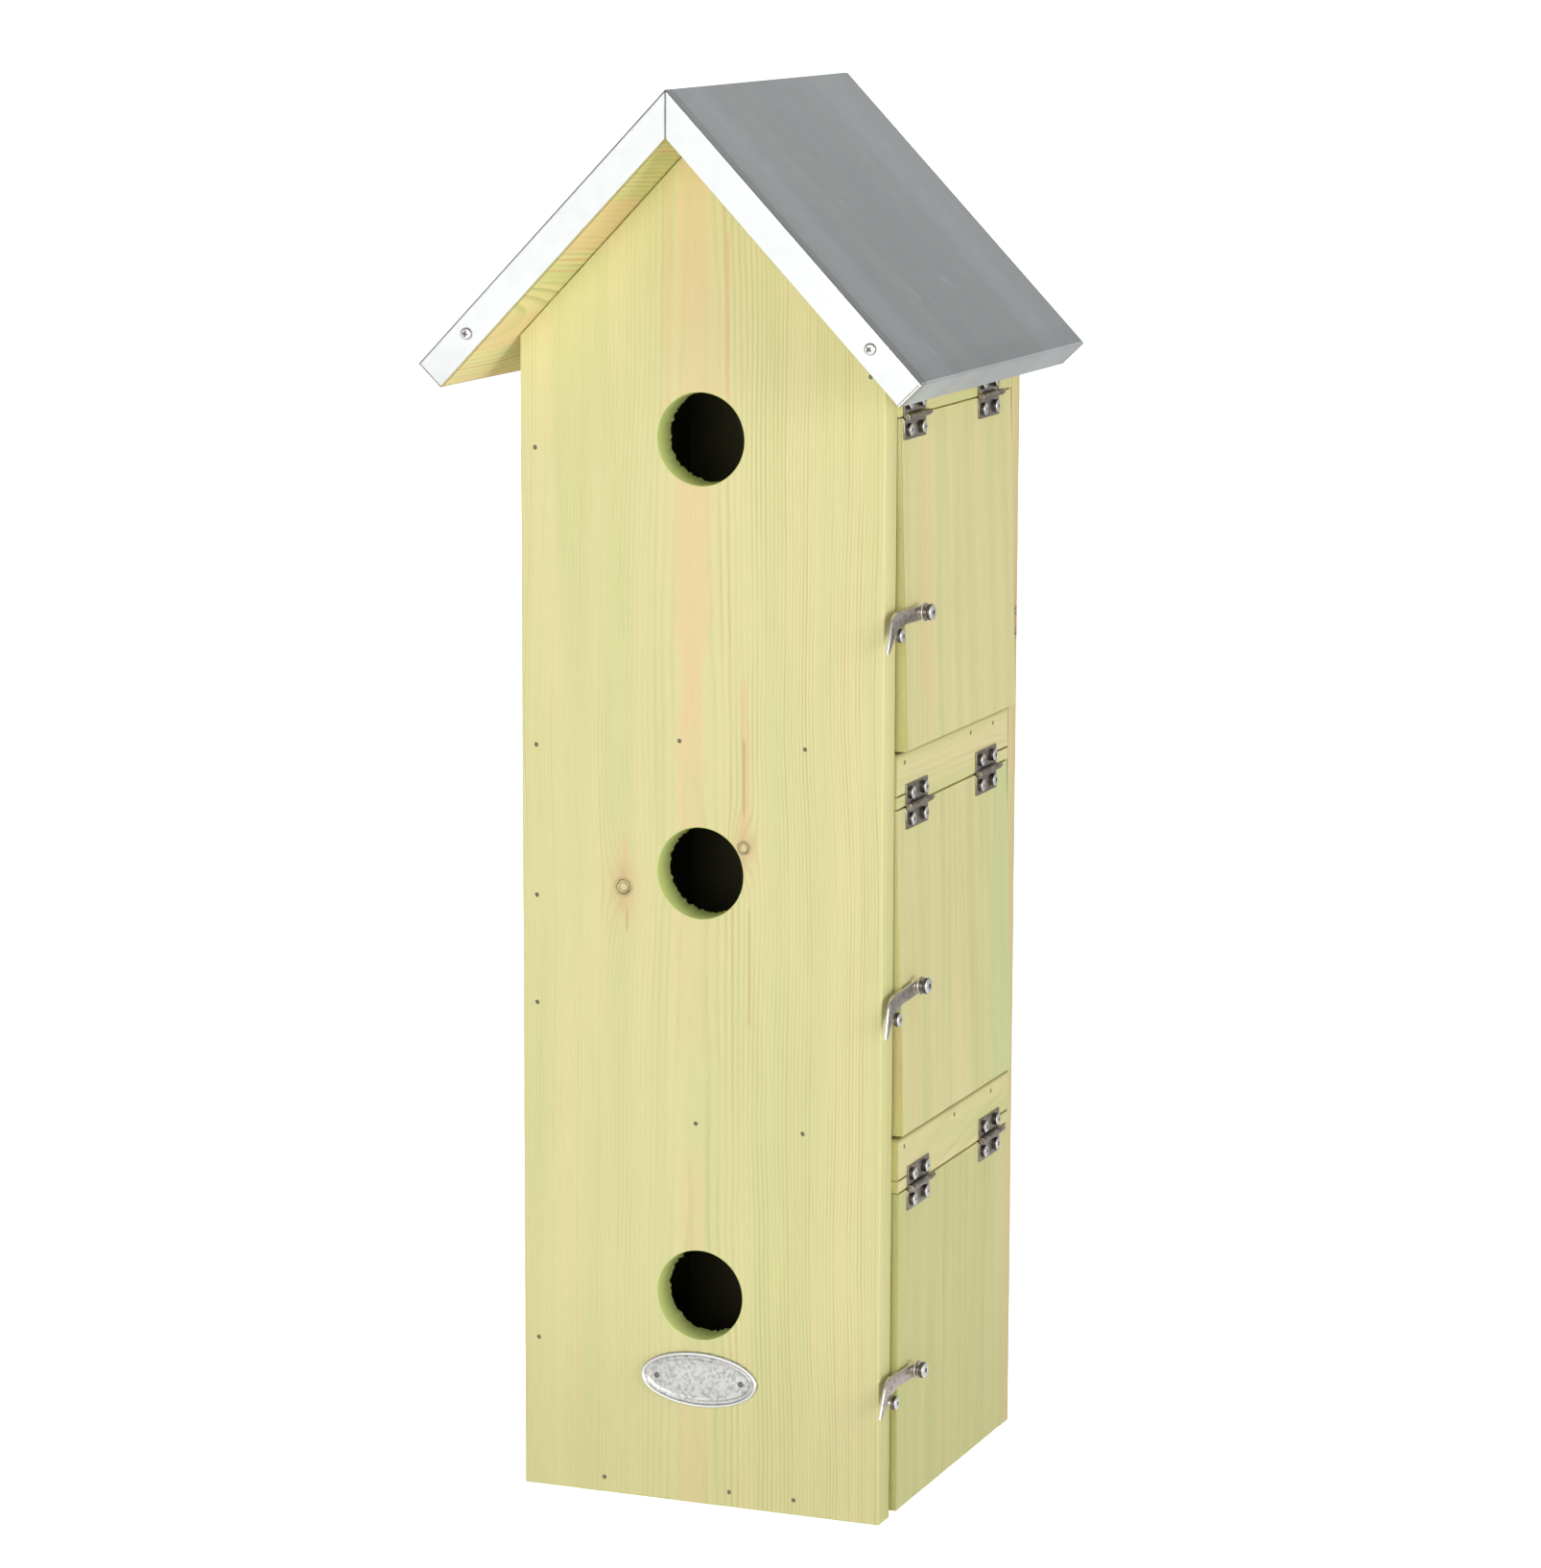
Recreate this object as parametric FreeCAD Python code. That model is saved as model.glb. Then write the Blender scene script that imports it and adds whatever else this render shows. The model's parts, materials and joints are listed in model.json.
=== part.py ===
import math
import os

import FreeCAD
import Part

Vec = FreeCAD.Vector

# Sparrow nest box with stacked chambers. Millimetres, +Z up, +Y to the back, +X to the door side.
# The origin is on the ground, in the middle of the whole outline seen from above.

# Timber
body_width = 144.0
body_depth = 148.0
board = 12.0
roof_board = 11.5

# Entrances in the front board
entrance_diameter = 34.0
first_entrance_height = 81.2
entrance_pitch = 160.8
entrance_count = 3

# Stacked doors and the rails that carry them
door_height = 121.95
rail_height = 20.6
first_door_bottom = 2.2
hinge_gap = 0.45
sill_gap = 1.0
door_end_gap = 1.0
door_stop_gap = 0.5
floor_rise = 6.3
top_rail_height = 25.9

# One entry for each tier, from the ground up: how far its rail and door stand proud of the front
# board's edge, how far its door hangs ajar, where its hinges sit from the door's two ends, how far
# its latch pivots below the hinge line, how far the hook droops, how far its catch is below the
# pivot, and where its nails are. Floor nails are placed across the front, side nails above the
# door's lower edge, rail nails from the rail's front and back ends.
bottom_tier = dict(
    name="bottom",
    proud=2.2,
    ajar_deg=0.0,
    front_hinge=20.1,
    back_hinge=21.9,
    latch_drop=70.0,
    hook_droop_deg=0.0,
    catch_drop=8.0,
    floor_nails=(-39.0, 12.0, 38.0),
    side_nails=(55.8,),
    rail_nails_front=(7.0, 62.0),
    rail_nail_back=20.0,
)
middle_tier = dict(
    name="middle",
    proud=0.6,
    ajar_deg=1.5,
    front_hinge=19.6,
    back_hinge=25.4,
    latch_drop=67.3,
    hook_droop_deg=6.0,
    catch_drop=9.2,
    floor_nails=(-1.7, 41.0),
    side_nails=(41.8, 82.8),
    rail_nails_front=(8.5, 81.0),
    rail_nail_back=17.5,
)
top_tier = dict(
    name="top",
    proud=0.6,
    ajar_deg=1.65,
    front_hinge=14.1,
    back_hinge=26.9,
    latch_drop=72.0,
    hook_droop_deg=0.0,
    catch_drop=6.3,
    floor_nails=(-8.3, 41.3),
    side_nails=(-4.2, 106.8),
)
tiers = (bottom_tier, middle_tier, top_tier)

# Gable roof and its folded cap
roof_pitch_deg = 46.0
eave_overhang = 25.7
front_overhang = 33.2
sheet = 0.6
fold_radius = 1.0
fold_seam = 0.3
cap_clearance = 0.1
flange_depth = 12.0
cap_screw_from_eave = 22.0

# Butt hinges
leaf_width = 22.8
leaf_height = 8.4
leaf_sheet = 0.6
knuckle_radius = 1.25
knuckle_lift = 0.3
knuckle_end = 5.7
knuckle_side_gap = 0.2
knuckle_clearance = 0.3
pin_radius = 0.6
pin_overhang = 0.5
pin_head_radius = 0.95
pin_head_length = 2.4
pin_grip = 0.01
pin_running_clearance = 0.05
hinge_screw_offset = 6.8
hinge_screw_reach = 4.9

# Pan-head screws: shank radius, head radius, radius of the head's flat crown, height of the head,
# height of its upright edge, length in the wood
hinge_screw = dict(shank=1.0, head=2.4, crown=1.5, rise=1.6, edge=1.0, length=9.0)
pivot_screw = dict(shank=1.4, head=3.0, crown=1.8, rise=2.0, edge=1.2, length=10.0)
catch_screw = dict(shank=1.3, head=2.6, crown=1.5, rise=2.0, edge=1.2, length=18.0)
cap_screw = dict(shank=1.1, head=2.2, crown=1.2, rise=1.2, edge=0.4, length=12.0)
screw_hole_clearance = 0.2

# Hook latches
latch_sheet = 1.0
latch_arm = 5.2
latch_tilt_deg = 5.0
latch_inset = 12.5
latch_collar_radius = 2.6
latch_collar_height = 2.2
latch_washer_radius = 3.4
latch_washer_sheet = 0.7
latch_head_gap = 1.2
latch_bore_clearance = 0.08
latch_side_play = 0.05
catch_clearance = 0.5
catch_stand = 3.2
hook_throat = 3.6
hook_knee = 5.0
hook_knee_drop = 3.2
hook_knee_radius = 3.0
hook_shoulder = 6.4
hook_bend_radius = 6.0
hook_reach = 11.7
hook_drop = 8.9
hook_tip = 1.6

# Nails
nail_shank = 0.65
nail_head = 0.8
nail_head_sheet = 0.8
nail_length = 34.0
upper_floor_nail_rise = 1.5
top_rail_nail_rise = 15.4
rail_nail_drop = 1.2
roof_nails_from_ridge = (22.0, 56.0)

# Oval badge
badge_width = 47.0
badge_height = 21.4
badge_plate = 0.9
badge_rim_width = 1.5
badge_rim_rise = 0.6
badge_above_ground = 48.7
badge_pin_spacing = 34.0
badge_pin = dict(shank=0.6, head=1.2, crown=0.8, rise=0.5, edge=0.2, length=7.0)

# Screw holes in the back board, for hanging
hanging_hole_diameter = 6.0

# What follows from those sizes
tier_count = len(tiers)
tier_pitch = door_height + hinge_gap + rail_height + sill_gap
roof_length = front_overhang + body_depth
back_face = (roof_length + cap_screw["rise"]) / 2
front_face = back_face - body_depth
roof_front = back_face - roof_length
front_inner = front_face + board
back_inner = back_face - board
half_width = body_width / 2
eave_reach = half_width + eave_overhang
side_inner = half_width - board
pitch = math.radians(roof_pitch_deg)
roof_under = sheet + cap_clearance + roof_board
wall_top = first_door_bottom + (tier_count - 1) * tier_pitch + door_height + hinge_gap + top_rail_height
apex = wall_top + half_width * math.tan(pitch)
ridge = apex + roof_under / math.cos(pitch)
slope_length = eave_reach / math.cos(pitch)
door_front = front_inner + door_end_gap
door_back = back_inner - door_end_gap
catch_y = front_face + board / 2
cut_margin = 1.0
touching = 0.01


# Small geometry helpers


def block(x0, x1, y0, y1, z0, z1):
    return Part.makeBox(x1 - x0, y1 - y0, z1 - z0, Vec(x0, y0, z0))


def rod(radius, start, direction, length):
    return Part.makeCylinder(radius, length, Vec(*start), Vec(*direction))


def rod_through_x(radius, y, z, x0, x1):
    # A cutter that runs a little past both ends.
    return rod(radius, (x0 - cut_margin, y, z), (1, 0, 0), x1 - x0 + 2 * cut_margin)


def rod_through_y(radius, x, z, y0, y1):
    return rod(radius, (x, y0 - cut_margin, z), (0, 1, 0), y1 - y0 + 2 * cut_margin)


def prism_along_y(outline, y0, y1):
    points = [Vec(x, y0, z) for x, z in outline]
    face = Part.Face(Part.makePolygon(points + points[:1]))
    return face.extrude(Vec(0, y1 - y0, 0))


def pan_head_screw(size, seat, outward, under_head=0.0):
    # The seat is the point under the head; the shank runs the other way, under_head being the
    # stretch of bare shank before the wood.
    shank_end = -size["length"] - under_head
    outline = [
        (0.0, shank_end),
        (size["shank"], shank_end),
        (size["shank"], 0.0),
        (size["head"], 0.0),
        (size["head"], size["edge"]),
        (size["crown"], size["rise"]),
        (0.0, size["rise"]),
    ]
    points = [Vec(x, 0, z) for x, z in outline]
    half_section = Part.Face(Part.makePolygon(points + points[:1]))
    screw = half_section.revolve(Vec(0, 0, 0), Vec(0, 0, 1), 360)
    turn = FreeCAD.Rotation(Vec(0, 0, 1), Vec(*outward))
    screw.Placement = FreeCAD.Placement(Vec(*seat), turn)
    return screw


def nail(point, inward):
    # A flat-headed nail whose head lies flush in the surface at the point.
    shank = rod(nail_shank, point, inward, nail_length)
    head = rod(nail_head, point, inward, nail_head_sheet)
    return shank.fuse(head).removeSplitter()


def ellipse_plate(width, height, y0, y1, z):
    outline = Part.Ellipse(Vec(0, 0, 0), width / 2, height / 2).toShape()
    plate = Part.Face(Part.Wire([outline])).extrude(Vec(0, 0, y1 - y0))
    plate.Placement = FreeCAD.Placement(Vec(0, y1, z), FreeCAD.Rotation(Vec(1, 0, 0), 90))
    return plate


# Roof sections: a point at a slope distance from the ridge and a depth below the outer surface


def roof_point(slope, depth, side=1):
    x = slope * math.cos(pitch) - depth * math.sin(pitch)
    z = ridge - slope * math.sin(pitch) - depth * math.cos(pitch)
    return side * x, z


def ridge_point(depth):
    return 0.0, ridge - depth / math.cos(pitch)


def chevron(top, bottom, slope_end):
    right = [roof_point(slope_end, top), roof_point(slope_end, bottom)]
    left = [roof_point(slope_end, bottom, -1), roof_point(slope_end, top, -1)]
    return [ridge_point(top)] + right + [ridge_point(bottom)] + left


def half_chevron(top, bottom, slope_end, side):
    eave = [roof_point(slope_end, top, side), roof_point(slope_end, bottom, side)]
    return [ridge_point(top)] + eave + [ridge_point(bottom)]


# Heights and planes of a tier


def door_bottom(tier):
    return first_door_bottom + tier * tier_pitch


def door_top(tier):
    return door_bottom(tier) + door_height


def rail_bottom(tier):
    return door_top(tier) + hinge_gap


def outer_plane(tier):
    return half_width + tiers[tier]["proud"]


def floor_top(tier):
    return board if tier == 0 else door_bottom(tier) - sill_gap + floor_rise


def hinge_axis(tier):
    x = outer_plane(tier) + knuckle_lift + knuckle_radius
    return x, door_top(tier) + hinge_gap / 2


def hinge_middles(tier):
    entry = tiers[tier]
    return door_front + entry["front_hinge"], door_back - entry["back_hinge"]


def hang_ajar(shape, tier):
    # Swings what rides on a door out to where the door hangs.
    x, z = hinge_axis(tier)
    swung = shape.copy()
    swung.rotate(Vec(x, 0, z), Vec(0, -1, 0), tiers[tier]["ajar_deg"])
    return swung


# Timber pieces


def gable_board(y0, y1):
    outline = [
        (-half_width, 0.0),
        (half_width, 0.0),
        (half_width, wall_top),
        (0.0, apex),
        (-half_width, wall_top),
    ]
    return prism_along_y(outline, y0, y1)


def entrance_heights():
    return [first_entrance_height + i * entrance_pitch for i in range(entrance_count)]


def hanging_hole_heights():
    heights = entrance_heights()
    return heights[0], heights[-1]


def front_board():
    shape = gable_board(front_face, front_inner)
    for z in entrance_heights():
        shape = shape.cut(rod_through_y(entrance_diameter / 2, 0.0, z, front_face, front_inner))
    return shape


def back_board():
    shape = gable_board(back_inner, back_face)
    for z in hanging_hole_heights():
        shape = shape.cut(rod_through_y(hanging_hole_diameter / 2, 0.0, z, back_inner, back_face))
    return shape


def wall_outline(inner, outer, bottom, side):
    # An upright board under the slope, its top edge bevelled to the roof.
    def under_roof(x):
        return apex - x * math.tan(pitch)

    return [
        (side * inner, bottom),
        (side * outer, bottom),
        (side * outer, under_roof(outer)),
        (side * inner, under_roof(inner)),
    ]


def left_side_board():
    return prism_along_y(wall_outline(side_inner, half_width, 0.0, -1), front_inner, back_inner)


def floor(tier):
    top = floor_top(tier)
    return block(-side_inner, side_inner, front_inner, back_inner, top - board, top)


def rail(tier):
    outer = outer_plane(tier)
    if tier == tier_count - 1:
        outline = wall_outline(side_inner, outer, rail_bottom(tier), 1)
        return prism_along_y(outline, front_inner, back_inner)
    top = rail_bottom(tier) + rail_height
    return block(side_inner, outer, front_inner, back_inner, rail_bottom(tier), top)


def door(tier):
    inner = side_inner + door_stop_gap
    return block(inner, outer_plane(tier), door_front, door_back, door_bottom(tier), door_top(tier))


def roof_slope_board(side):
    inset = sheet + cap_clearance
    outline = half_chevron(inset, roof_under, slope_length - inset, side)
    return prism_along_y(outline, roof_front + inset, back_face - inset)


# Folded cap: the outer fold less the space inside it, open below, with the flanges slit where the
# sheet is bent at the ridge and at the corners


def cap_fold():
    fold = prism_along_y(chevron(0.0, flange_depth, slope_length), roof_front, back_face)
    eave_top = ridge - slope_length * math.sin(pitch)
    bends = [edge for edge in fold.Edges if edge.BoundBox.ZMin > eave_top - fold_radius / 2]
    return fold.makeFillet(fold_radius, bends)


def ridge_seams():
    top = ridge - fold_radius
    bottom = ridge_point(flange_depth)[1] - cut_margin
    half = fold_seam / 2
    front = block(-half, half, roof_front - cut_margin, roof_front + sheet, bottom, top)
    back = block(-half, half, back_face - sheet, back_face + cut_margin, bottom, top)
    return [front, back]


def corner_seam(y0, y1, side):
    # Slits the end flange free of the eave flange, just inside the eave's sheet.
    near = slope_length - sheet - fold_seam
    far = slope_length - sheet
    outline = [
        roof_point(near, fold_radius, side),
        roof_point(far, fold_radius, side),
        roof_point(far, flange_depth + cut_margin, side),
        roof_point(near, flange_depth + cut_margin, side),
    ]
    return prism_along_y(outline, y0, y1)


def roof_cap():
    inside = chevron(sheet, flange_depth + cut_margin, slope_length - sheet)
    cap = cap_fold().cut(prism_along_y(inside, roof_front + sheet, back_face - sheet))
    for seam in ridge_seams():
        cap = cap.cut(seam)
    for side in (-1, 1):
        cap = cap.cut(corner_seam(roof_front - cut_margin, roof_front + sheet, side))
        cap = cap.cut(corner_seam(back_face - sheet, back_face + cut_margin, side))
        x, z = cap_screw_spot(side)
        hole = cap_screw["shank"] + screw_hole_clearance
        cap = cap.cut(rod_through_y(hole, x, z, roof_front, roof_front + sheet))
    return cap


def cap_screw_spot(side):
    # Halfway down the front flange, near the eave.
    return roof_point(slope_length - cap_screw_from_eave, flange_depth / 2, side)


def cap_screws():
    screws = []
    for side in (-1, 1):
        x, z = cap_screw_spot(side)
        screws.append(pan_head_screw(cap_screw, (x, roof_front, z), (0, -1, 0)))
    return screws


# Nails


def board_nails(face, inward):
    # Through a gable board into the left side board, the floors and the top rail.
    side_middle = side_inner + board / 2
    spots = []
    for tier, entry in enumerate(tiers):
        floor_middle = floor_top(tier) - board / 2
        floor_nail_height = floor_middle + (upper_floor_nail_rise if tier else 0.0)
        spots += [(x, floor_nail_height) for x in entry["floor_nails"]]
        spots += [(-side_middle, door_bottom(tier) + rise) for rise in entry["side_nails"]]
    spots.append((side_middle, rail_bottom(tier_count - 1) + top_rail_nail_rise))
    return [nail((x, face, z), inward) for x, z in spots]


def rail_nails():
    # Through each lower rail into the edge of the floor behind it.
    nails = []
    for tier, entry in enumerate(tiers[:-1]):
        rail_top = rail_bottom(tier) + rail_height
        z = (rail_top + floor_top(tier + 1) - board) / 2 - rail_nail_drop
        spots = [front_inner + spot for spot in entry["rail_nails_front"]]
        spots.append(back_inner - entry["rail_nail_back"])
        nails += [nail((outer_plane(tier), y, z), (-1, 0, 0)) for y in spots]
    return nails


def roof_nails():
    # Through the roof boards, square to the slope, into the gables' top edges.
    depth = sheet + cap_clearance
    nails = []
    for side in (-1, 1):
        inward = (-side * math.sin(pitch), 0, -math.cos(pitch))
        for spot in roof_nails_from_ridge:
            x, z = roof_point(spot / math.cos(pitch), depth, side)
            for y in (front_face + board / 2, back_face - board / 2):
                nails.append(nail((x, y, z), inward))
    return nails


# Badge with a raised rim, and its two pins


def badge():
    back = front_face
    rim_face = back - badge_plate - badge_rim_rise
    plate = ellipse_plate(badge_width, badge_height, rim_face, back, badge_above_ground)
    field_width = badge_width - 2 * badge_rim_width
    field_height = badge_height - 2 * badge_rim_width
    field_face = rim_face - cut_margin
    field = ellipse_plate(field_width, field_height, field_face, back - badge_plate, badge_above_ground)
    shape = plate.cut(field)
    for x in badge_pin_places():
        shape = shape.cut(rod_through_y(badge_pin["shank"], x, badge_above_ground, rim_face, back))
    return shape


def badge_pin_places():
    return -badge_pin_spacing / 2, badge_pin_spacing / 2


def badge_pins():
    seats = [(x, front_face - badge_plate, badge_above_ground) for x in badge_pin_places()]
    return [pan_head_screw(badge_pin, seat, (0, -1, 0), badge_plate) for seat in seats]


# Butt hinges


def knuckle_spans(middle):
    # The fixed leaf has the two end knuckles, the door leaf the one between them.
    start = middle - leaf_width / 2
    end = middle + leaf_width / 2
    fixed = [(start, start + knuckle_end), (end - knuckle_end, end)]
    moving = [(start + knuckle_end + knuckle_side_gap, end - knuckle_end - knuckle_side_gap)]
    return fixed, moving


def hinge_leaf(tier, middle, on_door):
    x, z = hinge_axis(tier)
    face = outer_plane(tier)
    fixed, moving = knuckle_spans(middle)
    own, other = (moving, fixed) if on_door else (fixed, moving)
    edge = hinge_gap / 2
    z0, z1 = (z - leaf_height, z - edge) if on_door else (z + edge, z + leaf_height)
    half = leaf_width / 2
    shape = block(face, face + leaf_sheet, middle - half, middle + half, z0, z1)
    for y0, y1 in own:
        shape = shape.fuse(rod(knuckle_radius, (x, y0, z), (0, 1, 0), y1 - y0))
    sweep = knuckle_radius + knuckle_clearance
    for y0, y1 in other:
        start = y0 - knuckle_side_gap
        length = y1 - y0 + 2 * knuckle_side_gap
        shape = shape.cut(rod(sweep, (x, start, z), (0, 1, 0), length))
    bore = pin_radius + (pin_running_clearance if on_door else pin_grip)
    shape = shape.cut(rod_through_y(bore, x, z, middle - half, middle + half))
    hole = hinge_screw["shank"] + screw_hole_clearance
    for seat in hinge_screw_seats(tier, middle, on_door):
        shape = shape.cut(rod_through_x(hole, seat[1], seat[2], face, face + leaf_sheet))
    return shape.removeSplitter()


def hinge_screw_seats(tier, middle, on_door):
    z = hinge_axis(tier)[1] + (-hinge_screw_reach if on_door else hinge_screw_reach)
    x = outer_plane(tier) + leaf_sheet
    return [(x, middle + offset, z) for offset in (-hinge_screw_offset, hinge_screw_offset)]


def hinge_screws(tier, on_door):
    screws = []
    for middle in hinge_middles(tier):
        for seat in hinge_screw_seats(tier, middle, on_door):
            screws.append(pan_head_screw(hinge_screw, seat, (1, 0, 0)))
    return screws


def hinge_pin(tier, middle):
    x, z = hinge_axis(tier)
    start = middle - leaf_width / 2 - pin_overhang
    end = middle + leaf_width / 2
    shaft = rod(pin_radius, (x, start, z), (0, 1, 0), end - start)
    return shaft.fuse(rod(pin_head_radius, (x, end, z), (0, 1, 0), pin_head_length))


# Hook latches, each drawn about its pivot on the door's face


def latch_pivot(tier):
    z = hinge_axis(tier)[1] - tiers[tier]["latch_drop"]
    return Vec(outer_plane(tier), door_front + latch_inset, z)


def tilt_on_pivot(shape, tier):
    # The screw leans forward a little, so the hook lies close to the front board's edge.
    tilted = shape.copy()
    tilted.rotate(latch_pivot(tier), Vec(0, 0, 1), -latch_tilt_deg)
    return tilted


def catch_reach():
    return door_front + latch_inset - catch_y


def edge_at(shape, corner):
    # The edge across the sheet that starts at this corner.
    for edge in shape.Edges:
        ends = [vertex.Point for vertex in edge.Vertexes]
        straight = len(ends) == 2 and abs(ends[0].x - ends[1].x) > latch_sheet / 2
        if straight and min(end.distanceToPoint(corner) for end in ends) < touching:
            return edge


def hook_outline():
    # Forward and up from the pivot, with the radius of each corner: a level arm, a round bend, a leg
    # that slants forward past the catch and narrows to its tip, and back by its knee and throat.
    half = latch_arm / 2
    reach = catch_reach()
    return [
        (0.0, half, 0.0),
        (reach + hook_shoulder, half, hook_bend_radius),
        (reach + hook_reach, -half - hook_drop, 0.0),
        (reach + hook_reach - hook_tip, -half - hook_drop, 0.0),
        (reach + hook_knee, -half - hook_knee_drop, hook_knee_radius),
        (reach - hook_throat, -half, hook_knee_radius),
        (0.0, -half, 0.0),
    ]


def latch_hook(tier):
    pivot = latch_pivot(tier)
    inner = pivot.x + latch_collar_height + latch_side_play
    outer = inner + latch_sheet
    corners = hook_outline()
    points = [Vec(inner, pivot.y - forward, pivot.z + up) for forward, up, radius in corners]
    plate = Part.Face(Part.makePolygon(points + points[:1])).extrude(Vec(latch_sheet, 0, 0))
    for point, (forward, up, radius) in zip(points, corners):
        if radius > 0:
            plate = plate.makeFillet(radius, [edge_at(plate, point)])
    plate = plate.fuse(rod(latch_arm / 2, (inner, pivot.y, pivot.z), (1, 0, 0), latch_sheet))
    plate.rotate(pivot, Vec(1, 0, 0), tiers[tier]["hook_droop_deg"])
    crook = catch_screw["head"] + catch_clearance
    crook_y = pivot.y - catch_reach()
    crook_z = pivot.z - tiers[tier]["catch_drop"]
    plate = plate.cut(rod_through_x(crook, crook_y, crook_z, inner, outer))
    bore = pivot_screw["shank"] + latch_bore_clearance
    plate = plate.cut(rod_through_x(bore, pivot.y, pivot.z, inner, outer))
    return hang_ajar(tilt_on_pivot(plate.removeSplitter(), tier), tier)


def latch_stack():
    # Distances out from the door's face along the pivot: top of the plate, then under the head.
    plate_top = latch_collar_height + latch_sheet + 2 * latch_side_play
    return plate_top, plate_top + latch_washer_sheet + latch_head_gap


def latch_pivot_screw(tier):
    pivot = latch_pivot(tier)
    under_head = latch_stack()[1]
    seat = (pivot.x + under_head, pivot.y, pivot.z)
    screw = pan_head_screw(pivot_screw, seat, (1, 0, 0), under_head)
    return hang_ajar(tilt_on_pivot(screw, tier), tier)


def latch_ring(tier, radius, start, thickness):
    pivot = latch_pivot(tier)
    inner = pivot.x + start
    ring = rod(radius, (inner, pivot.y, pivot.z), (1, 0, 0), thickness)
    bore = rod_through_x(pivot_screw["shank"], pivot.y, pivot.z, inner, inner + thickness)
    return tilt_on_pivot(ring.cut(bore), tier)


def latch_collar(tier):
    # Its foot is cut to the door's face, which the pivot leans from.
    sunk = latch_collar_radius
    collar = latch_ring(tier, latch_collar_radius, -sunk, sunk + latch_collar_height)
    return hang_ajar(collar.cut(door(tier)), tier)


def latch_washer(tier):
    start = latch_stack()[0]
    return hang_ajar(latch_ring(tier, latch_washer_radius, start, latch_washer_sheet), tier)


def catch_screws():
    screws = []
    for tier in range(tier_count):
        z = latch_pivot(tier).z - tiers[tier]["catch_drop"]
        seat = (half_width + catch_stand, catch_y, z)
        screws.append(pan_head_screw(catch_screw, seat, (1, 0, 0), catch_stand))
    return screws


# All pieces by name


def all_pieces():
    pieces = {
        "front_board": front_board(),
        "back_board": back_board(),
        "left_side_board": left_side_board(),
        "roof_board_left": roof_slope_board(-1),
        "roof_board_right": roof_slope_board(1),
        "roof_cap": roof_cap(),
        "cap_screws": Part.makeCompound(cap_screws()),
        "roof_nails": Part.makeCompound(roof_nails()),
        "front_nails": Part.makeCompound(board_nails(front_face, (0, 1, 0))),
        "back_nails": Part.makeCompound(board_nails(back_face, (0, -1, 0))),
        "rail_nails": Part.makeCompound(rail_nails()),
        "badge": badge(),
        "badge_pins": Part.makeCompound(badge_pins()),
        "catch_screws": Part.makeCompound(catch_screws()),
    }
    frame_screws = []
    for tier, entry in enumerate(tiers):
        name = entry["name"]
        pieces["floor_" + name] = floor(tier)
        pieces["rail_" + name] = rail(tier)
        pieces["door_" + name] = hang_ajar(door(tier), tier)
        for end, middle in zip(("front", "back"), hinge_middles(tier)):
            hinge = name + "_" + end
            pieces["hinge_rail_leaf_" + hinge] = hinge_leaf(tier, middle, False)
            pieces["hinge_door_leaf_" + hinge] = hang_ajar(hinge_leaf(tier, middle, True), tier)
            pieces["hinge_pin_" + hinge] = hinge_pin(tier, middle)
        frame_screws += hinge_screws(tier, False)
        door_screws = Part.makeCompound(hinge_screws(tier, True))
        pieces["hinge_door_screws_" + name] = hang_ajar(door_screws, tier)
        pieces["latch_hook_" + name] = latch_hook(tier)
        pieces["latch_pivot_screw_" + name] = latch_pivot_screw(tier)
        pieces["latch_collar_" + name] = latch_collar(tier)
        pieces["latch_washer_" + name] = latch_washer(tier)
    pieces["hinge_rail_screws"] = Part.makeCompound(frame_screws)
    return pieces


os.makedirs("parts", exist_ok=True)
for node, solid in all_pieces().items():
    solid.exportStep("parts/" + node + ".step")
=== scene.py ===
# Sparrow nest box: stained pine boards, a folded zinc roof and small nickel hardware
import json
import math
import bmesh
import bpy
from mathutils import Matrix, Vector, noise

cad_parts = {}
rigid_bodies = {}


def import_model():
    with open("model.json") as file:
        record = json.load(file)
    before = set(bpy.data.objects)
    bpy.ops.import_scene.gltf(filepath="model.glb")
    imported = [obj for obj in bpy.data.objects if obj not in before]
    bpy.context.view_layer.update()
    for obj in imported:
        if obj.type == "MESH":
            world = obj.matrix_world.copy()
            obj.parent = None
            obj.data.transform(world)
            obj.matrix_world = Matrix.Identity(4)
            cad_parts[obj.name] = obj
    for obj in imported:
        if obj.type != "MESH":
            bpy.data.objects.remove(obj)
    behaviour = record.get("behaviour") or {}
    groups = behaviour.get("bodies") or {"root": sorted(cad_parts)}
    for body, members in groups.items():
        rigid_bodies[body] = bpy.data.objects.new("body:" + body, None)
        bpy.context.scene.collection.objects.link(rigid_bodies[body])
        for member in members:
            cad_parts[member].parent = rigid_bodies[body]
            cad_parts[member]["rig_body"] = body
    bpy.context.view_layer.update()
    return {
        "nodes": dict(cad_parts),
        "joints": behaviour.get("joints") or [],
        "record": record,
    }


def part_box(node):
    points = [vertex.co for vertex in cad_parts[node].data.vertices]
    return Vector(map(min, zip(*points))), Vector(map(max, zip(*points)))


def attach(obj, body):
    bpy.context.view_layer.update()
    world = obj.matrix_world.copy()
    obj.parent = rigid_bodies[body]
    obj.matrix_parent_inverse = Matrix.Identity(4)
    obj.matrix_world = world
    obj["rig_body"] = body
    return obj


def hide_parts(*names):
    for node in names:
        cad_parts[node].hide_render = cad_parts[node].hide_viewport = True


for spare in list(bpy.data.objects):
    bpy.data.objects.remove(spare)  # what a new file starts with
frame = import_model()
nodes = frame["nodes"]
joints = {joint["name"]: joint for joint in frame["joints"]}
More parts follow.
